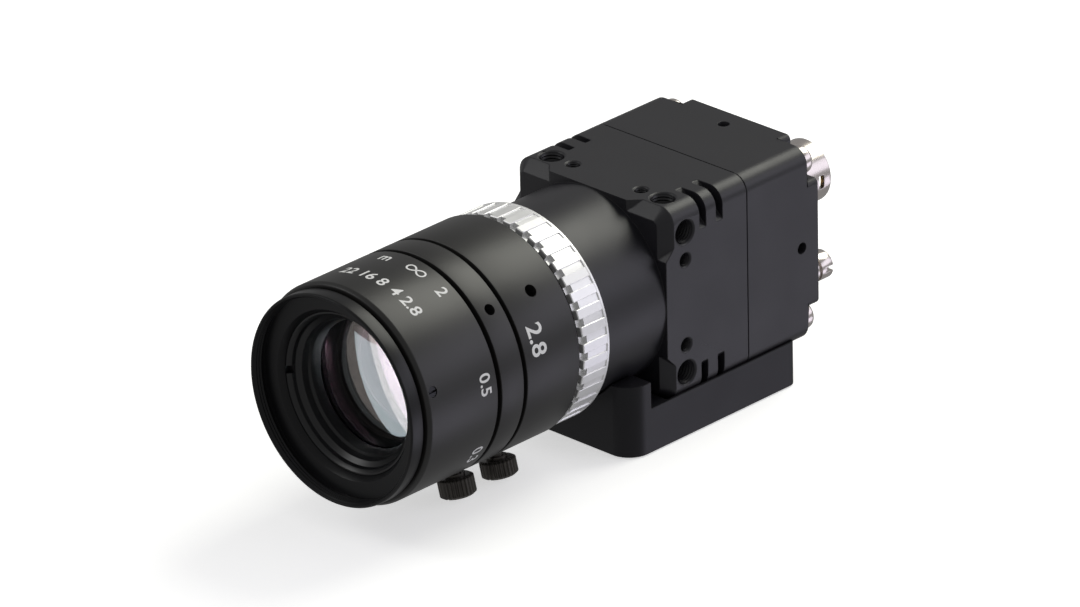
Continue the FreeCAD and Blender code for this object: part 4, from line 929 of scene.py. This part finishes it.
class GlassOperator(bpy.types.Operator):
    """Polish the glass and blacken the iris behind it"""

    bl_idname = "camera_part.glass"
    bl_label = "Glass and iris"

    def execute(self, context):
        mirrored = bpy.data.collections["mirrored_by"].objects
        glass = coated_glass("front_glass", (0.96, 0.97, 1.0), (0.80, 0.95, 1.0))
        warm = coated_glass("warm_glass", (0.96, 0.97, 1.0), (1.0, 0.76, 0.62))
        mirrored.link(self.element(glass, warm))
        inner = coated_glass("second_glass", (1.0, 0.97, 0.96), (1.0, 0.50, 0.68))
        given("second_element", inner)
        mirrored.link(frame["nodes"]["second_element"])
        rear = coated_glass("rear_glass", (0.95, 0.97, 0.94), (1.0, 0.6, 0.25))
        for node in ("rear_inner_element", "rear_outer_element"):
            given(node, rear)
            mirrored.link(frame["nodes"][node])
        for node in ("sensor_cover_glass", "blocking_filter"):
            given(node, rear)
        blade = turned_black("blade_black", (0.01, 0.01, 0.01), 0.45)
        for k in range(1, 7):
            given("iris_blade_%d" % k, blade)
        return {"FINISHED"}

    def element(self, material, rear_material):
        vertex, curve = -32.84 * MM, 30.0 * MM
        hollow, hollow_curve = -29.48 * MM, 45.0 * MM
        rim = 11.2 * MM
        front = [(vertex + curve - math.sqrt(curve ** 2 - (rim * k / 20) ** 2), rim * k / 20)
                 for k in range(21)]
        inner = 9.8 * MM
        rear = [(hollow + hollow_curve - math.sqrt(hollow_curve ** 2 - (inner * k / 16) ** 2),
                 inner * k / 16) for k in range(16, -1, -1)]
        outline = front + [(-28.4 * MM, rim)] + rear
        mesh = mesh_of(disc_lathe(outline, sizes().segments, offset=FLANGE), "front_element")
        made = finished("front_element_dressed", mesh, material, "front_barrel",
                        ("front_element",), sharp=40.0)
        mesh.materials.append(rear_material)
        for face in mesh.polygons:
            if face.normal.y > 0.5:
                face.material_index = 1
        return made


class LockScrewOperator(bpy.types.Operator):
    """Knurl the two lock screws"""

    bl_idname = "camera_part.lock_screws"
    bl_label = "Lock screws"

    def execute(self, context):
        metal = Finish("screw_black")
        grime = metal.grain(1500.0, 3.0)
        metal.surface(Base_Color=metal.mixed(grime, (0.05, 0.047, 0.044), (0.10, 0.09, 0.08)))
        metal.surface(Metallic=0.6, Roughness=0.34 + 0.12 * (grime - 0.5))
        metal.bumped(grime, 0.006 * MM, 0.3)
        for node, along, shoulder in (("focus_lock_screw", INDEX_HOLES, 17.6),
                                      ("iris_lock_screw", IRIS_LOCK, 17.9)):
            self.screw(node, along * MM, shoulder * MM, metal.material)
        return {"FINISHED"}

    def screw(self, node, along, shoulder, material):
        turned = math.radians(LOCK_ANGLE)
        out = Vector((math.cos(turned), 0, math.sin(turned)))
        side = Vector((0, 1, 0))
        up = out.cross(side)
        centre = Vector((0, FLANGE + along, AXIS_HEIGHT))
        head, end = 2.65 * MM, 20.6 * MM
        stations = [(14.0 * MM, 0.95 * MM, 0), (shoulder - 0.35 * MM, 0.95 * MM, 0),
                    (shoulder - 0.35 * MM, 1.5 * MM, 0), (shoulder, 1.5 * MM, 0),
                    (shoulder, head - 0.45 * MM, 0), (shoulder + 0.3 * MM, head - 0.06 * MM, 1),
                    (end - 0.35 * MM, head - 0.06 * MM, 1), (end - 0.05 * MM, head - 0.45 * MM, 0),
                    (end, head - 0.6 * MM, 0), (end, 1.55 * MM, 0),
                    (end - 0.12 * MM, 1.45 * MM, 0)]
        rings = []
        for reach, radius, rib in stations:
            ring = []
            count = sizes().knurl_ribs
            for k in range(count * 4):
                angle = 2 * math.pi * k / (count * 4)
                rise = (0.06, 0.06, -0.16, -0.16)[k % 4] * MM * rib
                arm = side * math.cos(angle) + up * math.sin(angle)
                ring.append(centre + out * reach + arm * (radius + rise))
            rings.append(ring)
        mesh = mesh_of(ribbed(rings), node)
        slot = bmesh.new()
        bmesh.ops.create_cube(slot, size=1.0)
        pose = Matrix((side, up, out)).transposed().to_4x4()
        spot = Matrix.Translation(centre + out * end)
        size = Matrix.Diagonal((8 * MM, 0.6 * MM, 1.2 * MM, 1.0))
        bmesh.ops.transform(slot, matrix=spot @ pose @ size, verts=slot.verts)
        finished(node + "_dressed", carved(mesh, [slot]), material, node,
                 (node,), sharp=26.0)


class NumbersOperator(bpy.types.Operator):
    """Print plain distance and aperture numbers on the rings"""

    bl_idname = "camera_part.numbers"
    bl_label = "Ring numbers"

    def execute(self, context):
        ink = printed("number_ink", tuple(finishes().ink))
        small = sizes().focus_digit
        row = FLANGE + DISTANCE_ROW * MM
        for name, word, angle in (("unit", "m", 98.6), ("two", "2", 60.3),
                                  ("half", "0.5", 9.0), ("third", "0.3", -33.0)):
            printed_word("distance_" + name, word, small, row, angle, RING_RADIUS,
                         "focus_ring", ink)
        wrapped("distance_far", infinity_mark(small * 0.86), row, 78.2, RING_RADIUS,
                "focus_ring", ink)
        row = FLANGE + DEPTH_ROW * MM
        for name, word, angle in (("wide", "22 16 8", 93.0), ("narrow", "4 2.8", 64.0)):
            printed_word("depth_" + name, word, small, row, angle, RING_RADIUS,
                         "focus_ring", ink)
        row = FLANGE + APERTURE_ROW * MM
        printed_word("aperture", "2.8", sizes().iris_digit, row, 19.0, RING_RADIUS,
                     "iris_ring", ink)
        return {"FINISHED"}


class RearHardwareOperator(bpy.types.Operator):
    """Plate the rear screws, connectors and posts"""

    bl_idname = "camera_part.rear_hardware"
    bl_label = "Rear hardware"

    def execute(self, context):
        nickel = bright_metal("nickel_plate", tuple(finishes().nickel), 0.24, 5000.0)
        for node in ("rear_screws", "jack_posts", "connector_shell", "data_connector_shell"):
            machined(node + "_dressed", node, nickel, "camera", 0.06 * MM)
        plastic = moulded("connector_plastic", (0.012, 0.012, 0.012), 0.5)
        for node in ("connector_insulator", "data_connector_tongue", "board_links"):
            given(node, plastic)
        gold = bright_metal("contact_gold", (0.85, 0.62, 0.25), 0.22, 5000.0)
        given("connector_contacts", gold)
        return {"FINISHED"}


class SmallPartsOperator(bpy.types.Operator):
    """Finish the small screws, the boards and the sensor"""

    bl_idname = "camera_part.small_parts"
    bl_label = "Small parts"

    def execute(self, context):
        steel = bright_metal("dark_steel", (0.05, 0.05, 0.055), 0.35, 8000.0)
        for node in ("base_screws", "focus_set_screws", "guide_screw_bottom"):
            given(node, steel)
        plain = bright_metal("plain_steel", (0.6, 0.6, 0.6), 0.3, 8000.0)
        for node in ("guide_pin", "iris_drive_pin", "board_spacers", "sensor_standoffs"):
            given(node, plain)
        green = moulded("board_lacquer", (0.02, 0.12, 0.05), 0.35)
        for node in ("sensor_board", "processor_board", "interface_board"):
            given(node, green)
        given("image_sensor", moulded("sensor_ceramic", (0.2, 0.17, 0.15), 0.4))
        return {"FINISHED"}


def given(node, material):
    """Give a solid that stays as it is its finish."""
    mesh = frame["nodes"][node].data
    if not mesh.materials:
        mesh.materials.append(material)
    for k in range(len(mesh.materials)):
        mesh.materials[k] = material


class CameraPartPanel(bpy.types.Panel):
    """Lists the pieces of the dressing and their settings"""

    bl_idname = "VIEW3D_PT_camera_part"
    bl_label = "Camera part"
    bl_space_type = "VIEW_3D"
    bl_region_type = "UI"
    bl_category = CATEGORY

    def draw(self, context):
        layout = self.layout
        for operator in OPERATORS:
            layout.operator(operator.bl_idname)
        for group in ("camera_part_sizes", "camera_part_finishes", "camera_part_stage"):
            box = layout.box()
            settings = getattr(context.scene, group)
            for key in settings.bl_rna.properties.keys():
                if key not in ("rna_type", "name"):
                    box.prop(settings, key)


OPERATORS = (StageOperator, HousingOperator, RingsOperator, MountRingOperator,
             FrontBarrelOperator, GlassOperator, LockScrewOperator, NumbersOperator,
             RearHardwareOperator, SmallPartsOperator)
GROUPS = (CameraPartSizes, CameraPartFinishes, CameraPartStage)


def register():
    for kind in (*GROUPS, *OPERATORS, CameraPartPanel):
        bpy.utils.register_class(kind)
    pointer = bpy.props.PointerProperty
    bpy.types.Scene.camera_part_sizes = pointer(type=CameraPartSizes)
    bpy.types.Scene.camera_part_finishes = pointer(type=CameraPartFinishes)
    bpy.types.Scene.camera_part_stage = pointer(type=CameraPartStage)


def unregister():
    del bpy.types.Scene.camera_part_stage
    del bpy.types.Scene.camera_part_finishes
    del bpy.types.Scene.camera_part_sizes
    for kind in reversed((*GROUPS, *OPERATORS, CameraPartPanel)):
        bpy.utils.unregister_class(kind)


def main():
    register()
    for operator in OPERATORS:
        group, name = operator.bl_idname.split(".")
        getattr(getattr(bpy.ops, group), name)()


if __name__ == "__main__":
    main()
